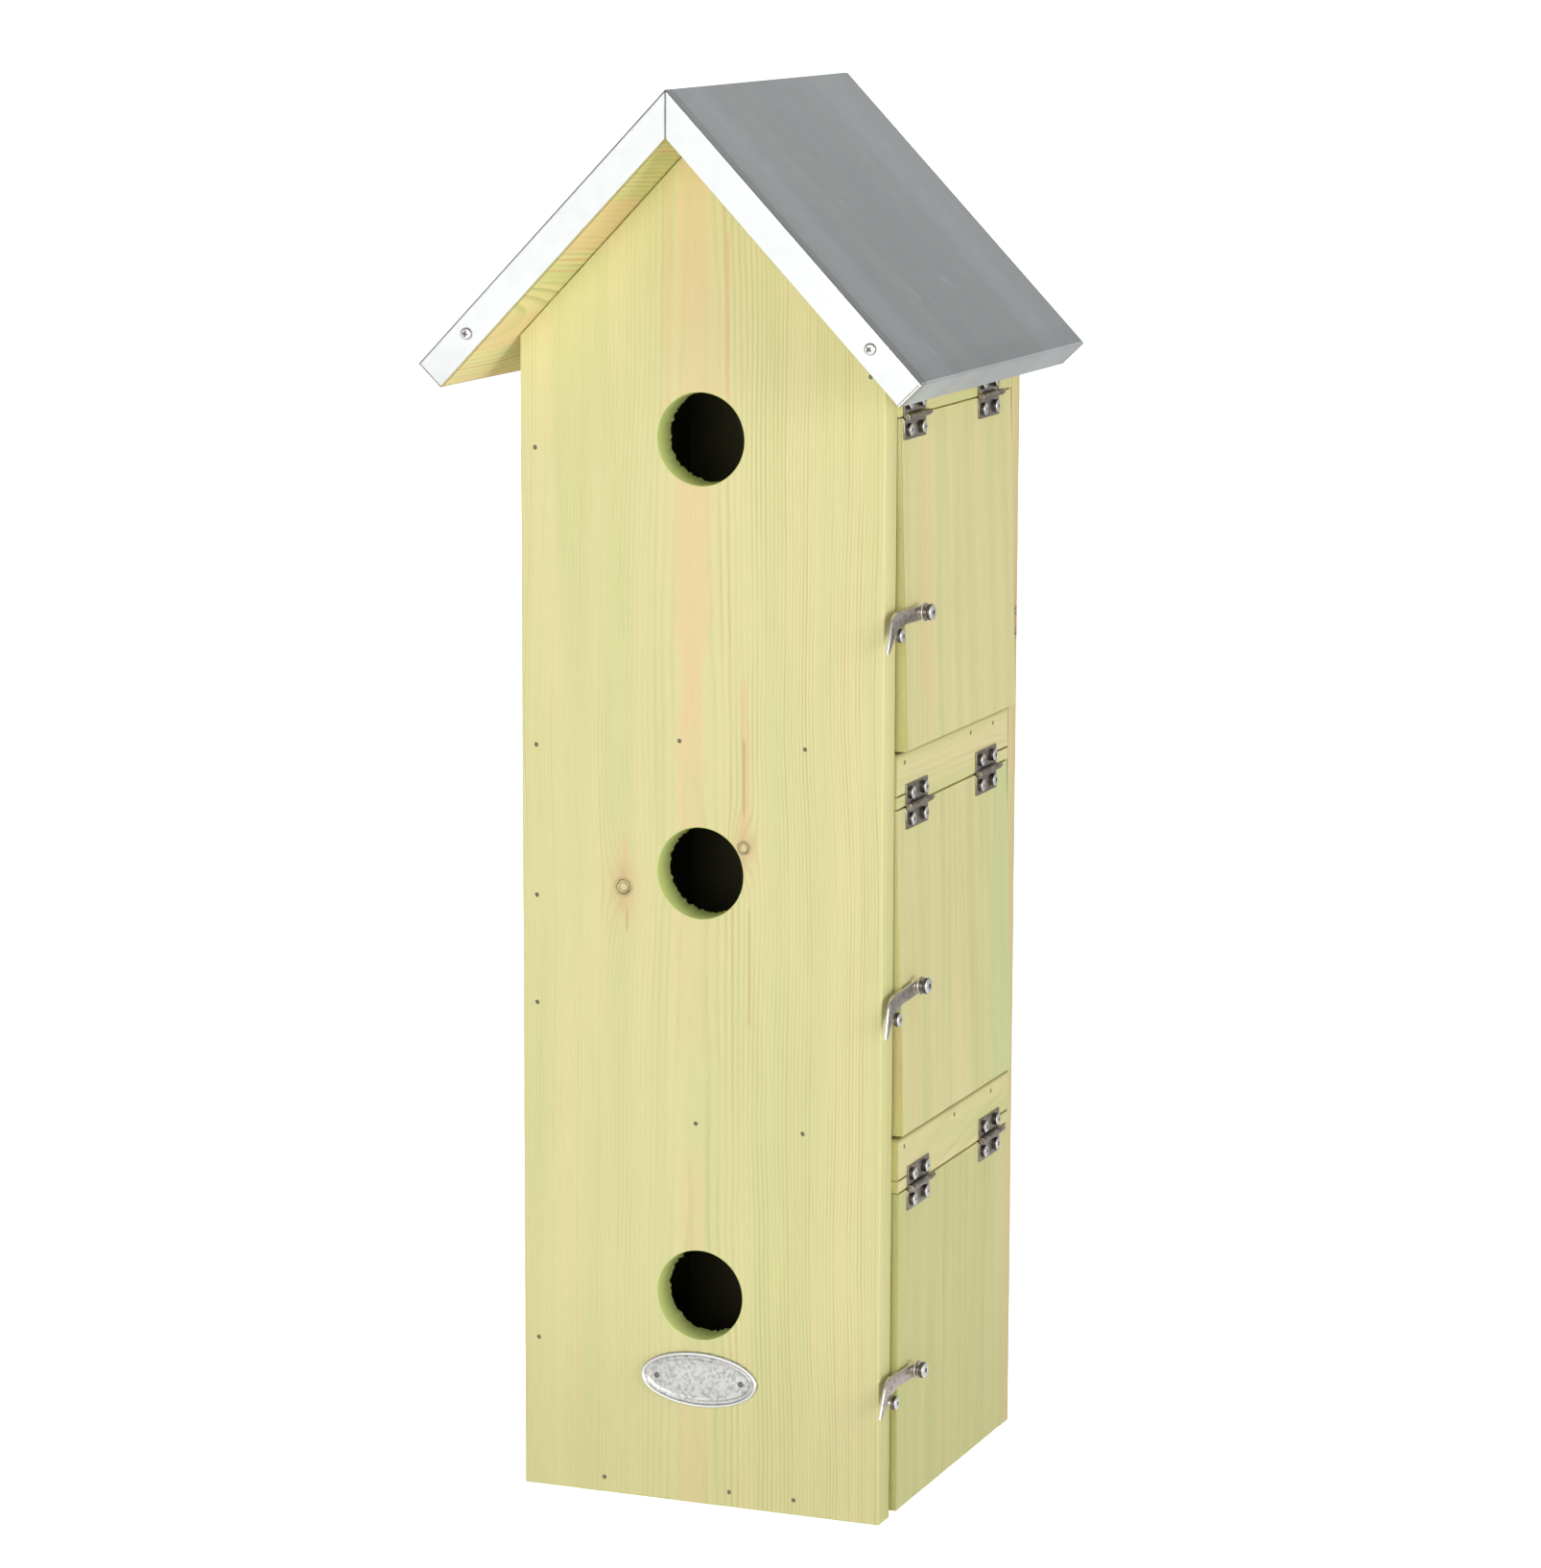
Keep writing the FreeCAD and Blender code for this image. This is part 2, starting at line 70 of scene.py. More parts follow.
openings = {space["name"]: space for space in frame["record"]["physics"]["openings"]}
mounts = {mount["name"]: mount for mount in frame["record"]["mounts"]}
tiers = ("bottom", "middle", "top")
mm = 0.001
hair = 0.01 * mm  # lengths that differ by less count as the same
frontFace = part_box("front_board")[0].y


def paint(red, green, blue):  # a colour as it looks on a screen, made linear
    linear = []
    for part in (red / 255, green / 255, blue / 255):
        linear.append(part / 12.92 if part <= 0.04045 else ((part + 0.055) / 1.055) ** 2.4)
    return (*linear, 1)


class Wire:  # one socket of a node tree, which can be used in sums
    def __init__(self, tree, socket=None):
        self.tree = tree
        self.socket = socket

    def node(self, kind, settings=None, values=None, out=0):
        made = self.tree.nodes.new(kind)
        for name, setting in (settings or {}).items():
            setattr(made, name, setting)
        for place, value in (values or {}).items():
            if isinstance(value, Wire):
                self.tree.links.new(value.socket, made.inputs[place])
            else:
                made.inputs[place].default_value = value
        return Wire(self.tree, made.outputs[out] if len(made.outputs) else None)

    def maths(self, operation, first, second=0.0):
        return self.node("ShaderNodeMath", {"operation": operation}, {0: first, 1: second})

    def __add__(self, other):
        return self.maths("ADD", self, other)

    def __radd__(self, other):
        return self.maths("ADD", other, self)

    def __sub__(self, other):
        return self.maths("SUBTRACT", self, other)

    def __rsub__(self, other):
        return self.maths("SUBTRACT", other, self)

    def __mul__(self, other):
        return self.maths("MULTIPLY", self, other)

    def __rmul__(self, other):
        return self.maths("MULTIPLY", other, self)

    def __truediv__(self, other):
        return self.maths("DIVIDE", self, other)

    def __rtruediv__(self, other):
        return self.maths("DIVIDE", other, self)

    def __pow__(self, other):
        return self.maths("POWER", self, other)

    def __gt__(self, other):
        return self.maths("GREATER_THAN", self, other)

    def __abs__(self):
        return self.maths("ABSOLUTE", self)

    def over(self, floor):  # the larger of the two
        return self.maths("MAXIMUM", self, floor)

    def smooth(self, low, high):  # 0 at low, 1 at high, also with low above high
        settings = {"interpolation_type": "SMOOTHSTEP"}
        return self.node("ShaderNodeMapRange", settings, {0: self, 1: low, 2: high, 3: 0.0, 4: 1.0})

    def bell(self, middle, width):  # a soft line of that half width
        return self.maths("EXPONENT", ((self - middle) / width) ** 2 * -1)

    def tint(self, under, over):  # over laid on under, as much as this value says
        return self.node("ShaderNodeMix", {"data_type": "RGBA"}, {0: self, 6: under, 7: over}, 2)

    def times(self, amount):  # a colour or a place made that much larger
        return self.node("ShaderNodeVectorMath", {"operation": "SCALE"}, {0: self, "Scale": amount})

    def part(self, axis):  # one number of a place
        return self.node("ShaderNodeSeparateXYZ", None, {0: self}, axis)

    def mark(self, name):  # what the mesh notes on each face
        return self.node("ShaderNodeAttribute", {"attribute_name": name}, None, "Fac")

    def cloud(self, x, y, z, detail=2.0, roughness=0.5):
        place = self.node("ShaderNodeCombineXYZ", None, {0: x, 1: y, 2: z})
        values = {"Vector": place, "Scale": 1.0, "Detail": detail, "Roughness": roughness}
        return self.node("ShaderNodeTexNoise", None, values)

    def chance(self):  # a number from 0 to 1 that is steady for each whole value
        return self.node("ShaderNodeTexWhiteNoise", {"noise_dimensions": "1D"}, {"W": self})


def emptyTree(owner):  # of a material or the world
    owner.use_nodes = True
    owner.node_tree.nodes.clear()
    return Wire(owner.node_tree)


def newFinish(name):
    material = bpy.data.materials.new(name)
    wire = emptyTree(material)
    place = wire.node("ShaderNodeTexCoord", None, None, "Object").times(1 / mm)
    axes = {axis: place.part(axis.upper()) for axis in "xyz"}
    return material, wire, axes  # the axes are in millimetres


def evenCloud(wire, axes, size, detail, roughness=0.5):  # noise of one size in every direction
    return wire.cloud(axes["x"] / size, axes["y"] / size, axes["z"] / size, detail, roughness)


def coat(wire, colour, roughness, metallic, height, strength, distance):
    values = {"Height": height, "Strength": strength, "Distance": distance}
    relief = wire.node("ShaderNodeBump", None, values)
    values = {"Base Color": colour, "Roughness": roughness, "Metallic": metallic, "Normal": relief}
    shader = wire.node("ShaderNodeBsdfPrincipled", None, values)
    wire.node("ShaderNodeOutputMaterial", None, {"Surface": shader})


# Stained pine
stain = {
    "pale": paint(233, 223, 166),
    "green": paint(212, 216, 148),
    "late": paint(188, 186, 116),
    "rose": paint(233, 196, 150),
    "peach": paint(237, 212, 160),
    "brown": paint(190, 152, 100),
    "knot": paint(104, 88, 64),
    "cut": paint(170, 166, 91),
    # cutGreen: green stain on the front board's sawn ends, with painted light making the shaded
    # entrance walls lighter
    "cutGreen": paint(208, 222, 133),
    # edge: a dark line, used as painted shade in the gaps between parts, and along the top door's front
    # edge
    "edge": paint(150, 138, 78),
    "mint": paint(212, 224, 160),
    # painted shade: the inner faces of the box, coloured dark where only shade falls
    "inside": paint(92, 88, 62),
}
pineGrain = {  # sizes of each pattern along the board and across it, in millimetres
    "sway": (170, 70),
    "shiver": (34, 9),
    "broad": (260, 13),
    "weight": (90, 11),
    "drift": (24, 30),
    "fibre": (16, 0.34),
    "knotWave": (1.6, 1.6),
    "saw": 1.1,
    "shiverBy": 0.7,
    "lateWood": (0.35, 0.88),  # from here to there in each ring it darkens
    "ringEnd": (1.0, 0.94),
    "knotLong": 0.42,  # the rings part further along a knot than across it
    "knotWide": 2.2,
    "knotPush": 1.6,
    "foot": (95.0, 5.0),  # from this height down the board is painted darker, as shade
    "relief": 0.12 * mm,
    "reliefStrength": 0.35,
}
knotLines = ((1.0, 0.1, 1.0), (0.62, 0.08, 0.75), (1.3, 0.1, 0.3))  # radius, half width, amount


def patchMask(along, across, patch):
    # a long spot with arched ends: place across and along, half width, half length, softness
    middle, level, wide, long, soft = patch
    past = (abs(along - level) - long).over(0) * 0.25
    aside = across - middle
    return ((aside * aside + past * past) ** 0.5).smooth(wide + soft, wide - soft)


def knotRing(near, colour, size, heart, wedge):
    colour = (near.smooth(size, size * 0.6) * 0.55).tint(colour, heart)
    for radius, width, amount in knotLines:
        colour = (near.bell(size * radius, size * width) * amount).tint(colour, stain["knot"])
    between = near.smooth(size * 1.15, size * 0.95) * near.smooth(size * 0.6, size * 0.8)
    return (between * wedge * 0.6).tint(colour, stain["knot"])  # darker at one side


def pineFinish(name, look):
    material, wire, axes = newFinish(name)
    along, across, depth = (axes[axis] for axis in look["grain"])
    across = across * look.get("stretch", 1.0)
    seed = look["seed"]
    knots = look.get("knots", ())  # place across and along, size, and depth where it ends in the wood

    def drawnOut(kind, offset, detail=2.0):  # noise that is longer along the grain
        long, wide = pineGrain[kind]
        return wire.cloud(along / long, across / wide, seed + offset, detail)

    def fromKnot(knot, squash):  # the distance from a knot's middle
        middle, level, _, *deep = knot
        aside = across - middle
        up = (along - level) * squash
        near = aside * aside + up * up
        for place in deep:
            near = near + (depth - place) ** 2
        return near ** 0.5

    # year rings round the pith, which swerve round the knots
    sway = drawnOut("sway", 0, 1.0) - 0.5
    shiver = drawnOut("shiver", 3) - 0.5
    aside = across - look["pith"][0] + sway * look["sway"]
    behind = depth - look["pith"][1]
    radius = (aside * aside + behind * behind) ** 0.5 + along * look["lean"]
    radius = radius + shiver * pineGrain["shiverBy"]
    halo = None
    for knot in knots:
        size = knot[2]
        bulge = fromKnot(knot, pineGrain["knotLong"]).bell(0, size * pineGrain["knotWide"])
        radius = radius + bulge * size * pineGrain["knotPush"]
        halo = bulge if halo is None else halo.over(bulge)
    turn = radius / look["ring"]
    year = wire.maths("FLOOR", turn)
    phase = turn - year
    tone = year.chance()
    late = phase.smooth(*pineGrain["lateWood"]) * phase.smooth(*pineGrain["ringEnd"])

    # stain: pale and green bands, then the lines of the rings
    broad = drawnOut("broad", 7).smooth(0.36, 0.66)
    long, wide = pineGrain["fibre"]
    fibre = wire.cloud(along / long, across / wide, depth / wide + seed, 3.0, 0.6)
    cut = wire.mark("cutGrain")
    weight = drawnOut("weight", 11).smooth(0.36, 0.64) * 0.7 + 0.3
    weight = weight * (1 - (cut > 0.05) * 0.75)
    if "plain" in look:  # from here to there the lines grow clearer
        weight = weight * (across.smooth(*look["plain"]) * 0.6 + 0.4)
    green = look.get("green", 0.0) + broad * look.get("greenness", 0.75)
    colour = green.tint(stain["pale"], stain["green"])
    for axis, start, end, amount in look.get("mint", ()):
        colour = (axes[axis].smooth(start, end) * amount).tint(colour, stain["mint"])
    line = late * weight * (tone * 0.55 + 0.2) * look.get("lines", 1.0)
    colour = line.tint(colour, stain["late"])
    rosy = late * weight * (tone > 0.72) * look.get("rosy", 0.6)
    colour = rosy.tint(colour, stain["rose"])

    # heartwood patches and knots
    for *patch, shade, amount in look.get("patches", ()):
        drift = (drawnOut("drift", 17) - 0.5) * patch[2] * 0.9
        mask = patchMask(along, across + drift, patch) * amount * (1 - late * 0.35)
        colour = mask.tint(colour, stain[shade])
    if halo is not None:
        colour = (halo * 0.6 * (0.5 + fibre * 0.6)).tint(colour, stain["rose"])
        colour = (halo ** 3 * 0.35).tint(colour, stain["brown"])
    heart = stain[look.get("heart", "pale")]
    for knot in knots:
        middle, level, size = knot[:3]
        wave = (drawnOut("knotWave", 23) - 0.5) * size * 0.5
        wedge = ((across - middle - (along - level)) / size).smooth(0.2, 1.3)
        colour = knotRing(fromKnot(knot, 1.0) + wave, colour, size, heart, wedge)

    # sawn ends, painted shade along each seam, stain and painted shade on the sawn ends, painted shade
    # inside, and each board's tone and level
    if "cutFade" in look:  # from here to there the sawn ends took less stain
        cut = cut * (1 - along.smooth(*look["cutFade"]) * 0.75)
    saw = evenCloud(wire, axes, pineGrain["saw"], 3.0, 0.7)
    colour = (cut * (0.62 + saw * 0.5)).tint(colour, stain[look.get("cut", "cut")])
    # painted shade: dark lines where the gaps between parts are
    for axis, middle, width, shade, amount in look.get("seams", ()):
        colour = (axes[axis].bell(middle, width) * amount).tint(colour, stain[shade])
    # on the sawn ends: a brownish stain, and painted shade where the kerf lies
    for axis, middle, width, shade, amount in look.get("endSeams", ()):
        seam = axes[axis].bell(middle, width) * (cut > 0.5) * amount
        colour = seam.tint(colour, stain[shade])
    # painted shade: the inner faces, and the floors all over, are coloured dark
    inside = wire.mark("inside").over(look.get("inside", 0.0))
    colour = (inside * 0.9).tint(colour, stain["inside"])
    # worn: fibre tone, with painted light and shade: bright sets each board's level to how brightly it
    # is lit, and the foot is painted darker
    worn = (fibre - 0.5) * 0.16 + look.get("bright", 1.0)
    worn = worn - axes["z"].smooth(*pineGrain["foot"]) * look.get("foot", 0.0)
    rough = 0.58 + fibre * 0.16 + late * 0.06
    height = fibre * 0.6 + late * 0.5 + cut * saw * 2.0
    coat(wire, colour.times(worn), rough, 0.0, height, pineGrain["reliefStrength"], pineGrain["relief"])
    return material


kerf = {  # the saw slit beside the hinges on a rail
    "above": 4.7 * mm,
    "half": 0.3 * mm,
    "deep": 1.2 * mm,
    "margin": 0.45 * mm,
    "easing": 0.05 * mm,
}
railBoxes = [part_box("rail_" + tierName) for tierName in ("bottom", "middle")]
roofStretch = 1.39  # along the slope, for each millimetre of height
# grain: the axes along it, across the face and into the wood
pineLooks = {
    "front": {
        "grain": "zxy", "pith": (-3.0, -30.0), "seed": 2.0,
        "ring": 1.25, "sway": 9.0, "lean": 0.006, "rosy": 0.45, "green": 0.12, "greenness": 0.38,
        "plain": (-25.0, 25.0), "cut": "cutGreen", "foot": 0.1,
        "knots": ((-30.7, 234.7, 2.7), (17.3, 252.7, 2.1)),
        "patches": (
            (-3.2, 488.0, 5.6, 22.0, 1.6, "peach", 0.85),
            (-1.4, 430.0, 8.0, 8.0, 3.5, "peach", 0.6),
            (-3.0, 362.0, 7.6, 18.0, 1.6, "peach", 0.8),
            (-3.2, 322.0, 3.4, 30.0, 1.2, "peach", 0.8),
            (-4.0, 281.0, 5.6, 14.0, 1.6, "peach", 0.75),
            (-3.0, 214.0, 8.0, 5.0, 3.0, "peach", 0.35),
            (-2.8, 112.0, 4.4, 6.0, 2.0, "peach", 0.5),
            (-2.7, 22.0, 5.6, 12.0, 2.0, "peach", 0.5),
            (-13.0, 445.0, 1.0, 50.0, 0.8, "rose", 0.4),
            (10.3, 448.0, 0.9, 26.0, 0.6, "rose", 0.75),
            (17.4, 286.0, 1.2, 24.0, 0.8, "rose", 0.55),
            (19.2, 280.0, 0.4, 18.0, 0.4, "rose", 0.6),
            (17.3, 279.0, 0.5, 12.0, 0.4, "brown", 0.6),
            (19.6, 208.0, 0.5, 20.0, 0.5, "brown", 0.4),
            (-29.4, 222.5, 0.4, 2.5, 0.4, "brown", 0.7),
            (-30.2, 245.0, 1.0, 5.0, 1.0, "rose", 0.55),
        ),
    },
    "back": {
        "grain": "zxy", "pith": (14.0, 130.0), "seed": 19.0,
        "ring": 1.5, "sway": 12.0, "lean": -0.008, "greenness": 0.3, "foot": 0.08,
        "heart": "brown",
        "knots": ((72.0, 321.0, 5.0, 89.5), (-26.0, 142.0, 4.0)),
        "patches": (
            (10.0, 330.0, 6.0, 60.0, 2.0, "peach", 0.5),
            (73.0, 220.0, 4.0, 240.0, 2.0, "peach", 0.6),
        ),
        # painted shade: a dark line in the gap behind the doors, on the board's edge
        "seams": (("y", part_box("back_board")[0].y / mm + 1.6, 0.8, "edge", 0.85),),
    },
    "leftSide": {
        "grain": "zyx", "pith": (22.0, -96.0), "seed": 31.0,
        "ring": 1.4, "sway": 10.0, "lean": 0.007, "foot": 0.08, "knots": ((-12.0, 300.0, 4.0),),
        "patches": ((24.0, 210.0, 6.0, 70.0, 2.0, "peach", 0.6),),
    },
    "doorBottom": {
        "grain": "zyx", "pith": (-84.0, 30.0), "seed": 43.0,
        "ring": 1.9, "sway": 7.0, "lean": 0.01, "green": 0.34, "greenness": 0.5, "lines": 0.6,
        # bright: painted shade, the lowest door is made darker
        "rosy": 0.2, "foot": 0.06, "bright": 0.945,
        "patches": (
            (7.0, 60.0, 0.4, 70.0, 0.3, "late", 0.55),
            (53.0, 60.0, 0.4, 70.0, 0.3, "late", 0.5),
        ),
    },
    "doorMiddle": {
        "grain": "zyx", "pith": (-96.0, 30.0), "seed": 59.0,
        "ring": 1.8, "sway": 7.0, "lean": -0.012, "rosy": 0.12, "greenness": 0.45, "bright": 0.985,
        "cutFade": (100.0, 420.0),
        "endSeams": (("z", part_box("door_middle")[0].z / mm + 27.0, 16.0, "brown", 0.4),),
        "mint": (("y", 42.0, 74.0, 0.75),),
        "patches": ((-30.0, 180.0, 5.0, 30.0, 3.0, "rose", 0.12),),
    },
    "doorTop": {
        "grain": "zyx", "pith": (104.0, 40.0), "seed": 67.0,
        "ring": 2.0, "sway": 8.0, "lean": 0.008, "lines": 0.7, "rosy": 0.2, "greenness": 0.45,
        "cutFade": (355.0, 420.0), "bright": 0.985,
        "patches": (
            (-20.0, 350.0, 6.0, 30.0, 4.0, "rose", 0.25),
            (-43.2, 350.0, 0.35, 64.0, 0.25, "edge", 0.75),
        ),
    },
    "rails": {
        "grain": "yzx", "pith": (150.0, 30.0), "seed": 71.0,
        "ring": 2.3, "sway": 26.0, "lean": 0.05, "rosy": 0.25, "lines": 0.4,
        # painted shade: a dark line along each rail's top, under its door, and on the sawn ends where
        # the kerf lies
        "seams": [("z", high.z / mm - 0.3, 0.85, "edge", 0.85) for low, high in railBoxes],
        "endSeams": [("z", (low.z + kerf["above"]) / mm, kerf["half"] / mm, "knot", 0.8)
                     for low, high in railBoxes],
    },
    "floors": {
        "grain": "yxz", "pith": (12.0, -60.0), "seed": 83.0,
        # inside: painted shade, the floors are coloured dark
        "ring": 1.7, "sway": 8.0, "lean": 0.01, "inside": 0.85,
    },
    "roofLeft": {
        "grain": "yzx", "pith": (640.0, -90.0), "seed": 97.0,
        "stretch": roofStretch, "ring": 2.6, "sway": 26.0, "lean": 0.1, "rosy": 0.9, "lines": 1.2,
        # bright: painted light, the shaded underside is made lighter
        "bright": 1.16,
        "patches": (
            (668.0, -70.0, 13.0, 40.0, 3.0, "peach", 0.85),
            (612.0, -62.0, 9.0, 40.0, 3.0, "peach", 0.8),
            (585.0, -70.0, 5.0, 40.0, 2.0, "peach", 0.6),
        ),
        # painted shade: a dark line in the gap where the cap's turned-down front meets the underside
        "seams": (("y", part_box("roof_board_left")[0].y / mm + 0.8, 1.0, "edge", 0.8),),
    },
    "roofRight": {
        "grain": "yzx", "pith": (600.0, 90.0), "seed": 103.0,
        "stretch": roofStretch, "ring": 2.2, "sway": 18.0, "lean": 0.06, "rosy": 0.7,
        "patches": ((640.0, 0.0, 8.0, 70.0, 3.0, "peach", 0.6),),
    },
}
pine = {}
for lookName, pineLook in pineLooks.items():
    pine[lookName] = pineFinish("pine_" + lookName, pineLook)


# Metals
metals = {
    "zincCool": paint(243, 250, 252),
    "zincPlain": paint(246, 249, 248),
    "nickel": paint(190, 180, 172),
    "nickelDark": paint(128, 119, 113),
    "steel": paint(226, 225, 223),
    "hinge": paint(159, 151, 139),
    "hingeDark": paint(112, 105, 97),
    # painted shade for the upright sides and recesses of heads
    "flank": paint(84, 78, 70),
    "sheared": paint(250, 246, 236),
    "nail": paint(120, 112, 100),
    "pewter": paint(224, 224, 220),
    "pewterDark": paint(139, 138, 134),
}
roofCap = {  # lengths in millimetres
    "turnDown": 12.0,
    "pitch": 46.0,  # in degrees
    "frontBand": (22.0, 13.0),  # two bands stayed cleaner: distance from the end and half width
    "backBand": (30.0, 22.0),
    "bendLine": (3.6, 1.6),  # painted shade: the darker line behind the front fold
    "seamLine": 0.4,
    "weathering": 0.2,  # how much darker the slope is at the eaves
    "roll": (15, 260, 400),  # sizes of each pattern along the ridge, in height and across
    "worn": (28, 40, 40),
    "scratch": (0.7, 11, 11),
    "spangle": 7,
    "dents": 45,
    "relief": 0.05 * mm,
    "reliefStrength": 0.25,
}


def zincFinish():
    material, wire, axes = newFinish("zinc_sheet")
    x, y, z = axes.values()
    low, high = (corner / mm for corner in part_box("roof_cap"))
    eaveLine = low.z + roofCap["turnDown"] * math.cos(math.radians(roofCap["pitch"]))

    def drawnOut(kind, detail):  # noise that is longer down the slope
        along, down, across = roofCap[kind]
        return wire.cloud(y / along, z / down, x / across, detail)

    roll = drawnOut("roll", 2.0)
    streak = wire.cloud(y / 0.9, z / 90, 5.0, 2.0, 0.6)
    spangle = evenCloud(wire, axes, roofCap["spangle"], 3.0, 0.6)
    drift = y + (wire.cloud(z / 60, x / 200, 3.0, 1.0) - 0.5) * 16
    inset, width = roofCap["frontBand"]
    clean = drift.bell(low.y + inset, width)
    inset, width = roofCap["backBand"]
    clean = clean + drift.bell(high.y - inset, width)
    slope = y.smooth(low.y + 0.6, low.y + 2.2) * y.smooth(high.y - 0.6, high.y - 2.2)  # not the folds
    eave = z.smooth(eaveLine + 0.3, eaveLine - 0.6)  # the turned-down edge below the slope
    plain = (roll.smooth(0.38, 0.62) * (1 - clean)).over(1 - slope)
    colour = plain.tint(metals["zincCool"], metals["zincPlain"])
    inset, width = roofCap["bendLine"]
    # painted shade along the front fold and on the slope just above the eave
    fold = y.bell(low.y + inset, width) * 0.2 + z.smooth(eaveLine + 9.0, eaveLine + 3.0) * 0.05
    eaveDarkening = (high.z - z) / (high.z - low.z) * slope * (1 - eave) * roofCap["weathering"]
    # painted shade: the turned-down front is made darker, more so to the right where more light falls,
    # with a dark seam line at the apex
    fascia = 0.09 + x.smooth(-150.0, 60.0) * 0.22 + x.bell(0.0, roofCap["seamLine"]) * 0.45
    fascia = fascia * (1 - slope)
    worn = drawnOut("worn", 1.0).smooth(0.5, 0.62)
    scratch = drawnOut("scratch", 1.0).smooth(0.63, 0.7) * worn * slope
    shade = 0.97 + (roll - 0.5) * 0.16 + streak.smooth(0.6, 0.72) * 0.1 + (spangle - 0.5) * 0.06
    shade = shade + clean * 0.08 + scratch * 0.3 - fold - eaveDarkening - fascia
    rough = 0.36 + (spangle - 0.5) * 0.16 - streak.smooth(0.55, 0.8) * 0.06
    height = evenCloud(wire, axes, roofCap["dents"], 2.0) * 6 + spangle * 0.2
    coat(wire, colour.times(shade), rough, 1.0, height, roofCap["reliefStrength"], roofCap["relief"])
    return material


metalGrain = {"tarnish": 2.6, "brushLong": 0.5, "brushFine": 0.12, "mottle": 1.3}  # in millimetres


def hardwareFinish(name, bright, dull, rough, patchy, edges=0.0):
    material, wire, axes = newFinish(name)
    tarnish = evenCloud(wire, axes, metalGrain["tarnish"], 3.0, 0.6)
    long = metalGrain["brushLong"]
    brushed = wire.cloud(axes["x"] / long, axes["y"] / metalGrain["brushFine"], axes["z"] / long, 2.0)
    colour = (tarnish.smooth(0.42, 0.72) * patchy).tint(metals[bright], metals[dull])
    # painted shade on the heads' upright sides and recesses
    colour = (wire.mark("flank") * 0.9).tint(colour, metals["flank"])
    # painted highlight on the cut edges, as much as edges says
    colour = (wire.mark("sheared") * edges).tint(colour, metals["sheared"])
    roughness = rough + (tarnish - 0.5) * 0.2 + (brushed - 0.5) * 0.1
    coat(wire, colour, roughness, 1.0, brushed + tarnish, 0.2, 0.03 * mm)
    return material


def badgeFinish():
    material, wire, axes = newFinish("pewter_badge")
    mottle = evenCloud(wire, axes, metalGrain["mottle"], 4.0, 0.65)
    sunk = (frontFace / mm - axes["y"]).smooth(1.35, 0.85)  # the field inside the rim
    dull = sunk * (0.25 + mottle.smooth(0.4, 0.68) * 0.6)
    colour = dull.tint(metals["pewter"], metals["pewterDark"])
    coat(wire, colour, 0.32 + mottle * 0.2, 1.0, mottle, 0.3, 0.08 * mm)
    return material


zinc = zincFinish()
nickel = hardwareFinish("nickel_hardware", "nickel", "nickelDark", 0.34, 0.7, 0.85)
hingeSteel = hardwareFinish("hinge_steel", "hinge", "hingeDark", 0.34, 0.7)
screwSteel = hardwareFinish("screw_steel", "steel", "nickel", 0.42, 0.4)
nailSteel = hardwareFinish("nail_steel", "nail", "nickelDark", 0.5, 0.5)
pewter = badgeFinish()
print("finishes:", len(bpy.data.materials))


def addObject(name, data):
    made = bpy.data.objects.new(name, data)
    bpy.context.scene.collection.objects.link(made)
    return made


def addPiece(name, mesh, material, body, slotName, *replaced):
    mesh.materials.clear()
    mesh.materials.append(material)
    piece = addObject(name, mesh)
    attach(piece, body)
    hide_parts(*replaced)


def dressNode(node, material):
    for slot in nodes[node].material_slots:
        slot.material = material


def mergedCopy(node):  # a node's mesh with its loose triangles joined
    bm = bmesh.new()
    bm.from_mesh(nodes[node].data)
    bmesh.ops.remove_doubles(bm, verts=bm.verts, dist=0.001 * mm)
    return bm


def finishMesh(bm, name, angle):  # edges past that angle, in degrees, stay sharp
    mesh = bpy.data.meshes.new(name)
    bm.to_mesh(mesh)
    bm.free()
    mesh.set_sharp_from_angle(angle=math.radians(angle))
    return mesh


def boxRound(spots):  # the least and the greatest corner
    low = Vector([min(spot[axis] for spot in spots) for axis in range(3)])
    high = Vector([max(spot[axis] for spot in spots) for axis in range(3)])
    return low, high


# Boards: an outline with eased, slightly uneven edges, through holes and blind holes
board = {
    "step": 4 * mm,
    "wander": 0.1 * mm,  # how uneven the edges are
    "wave": 14 * mm,
    "waveStart": Vector((3.7, 1.9, 8.1)),
    "wanderFrom": 0.12 * mm,  # holes with less easing stay true
    "bend": 0.3,  # share of the easing, halfway round an edge
    "waist": 0.55,  # where the far half of a wall starts
    "sharp": 40,
}
tornRim = {"coarse": 1.7 * mm, "fine": 0.8 * mm, "fineShare": 0.6, "lift": 0.35}
# sawn: how much of an end each side is, from the bottom round
gableEdge = {"easing": 0.55 * mm, "sawn": (0.1, 0.1, 0.1, 0.1, 0.1), "underRoof": 0.3 * mm}
railEdge = {"easing": 0.16 * mm, "sawn": (0.2, 0.95, 0.2, 0.95)}
doorEdge = {"easing": 0.16 * mm, "sawn": (0.85, 0.85, 0.85, 0.85)}


def stepped(corners, step, marks):  # points along a closed outline, each with its side's mark
    points = []
    carried = []
    for corner, after, mark in zip(corners, corners[1:] + corners[:1], marks):
        span = Vector(after) - Vector(corner)
        count = max(1, round(span.length / step))
        for index in range(count):
            points.append(Vector(corner) + span * index / count)
            carried.append(mark)
    return points, carried


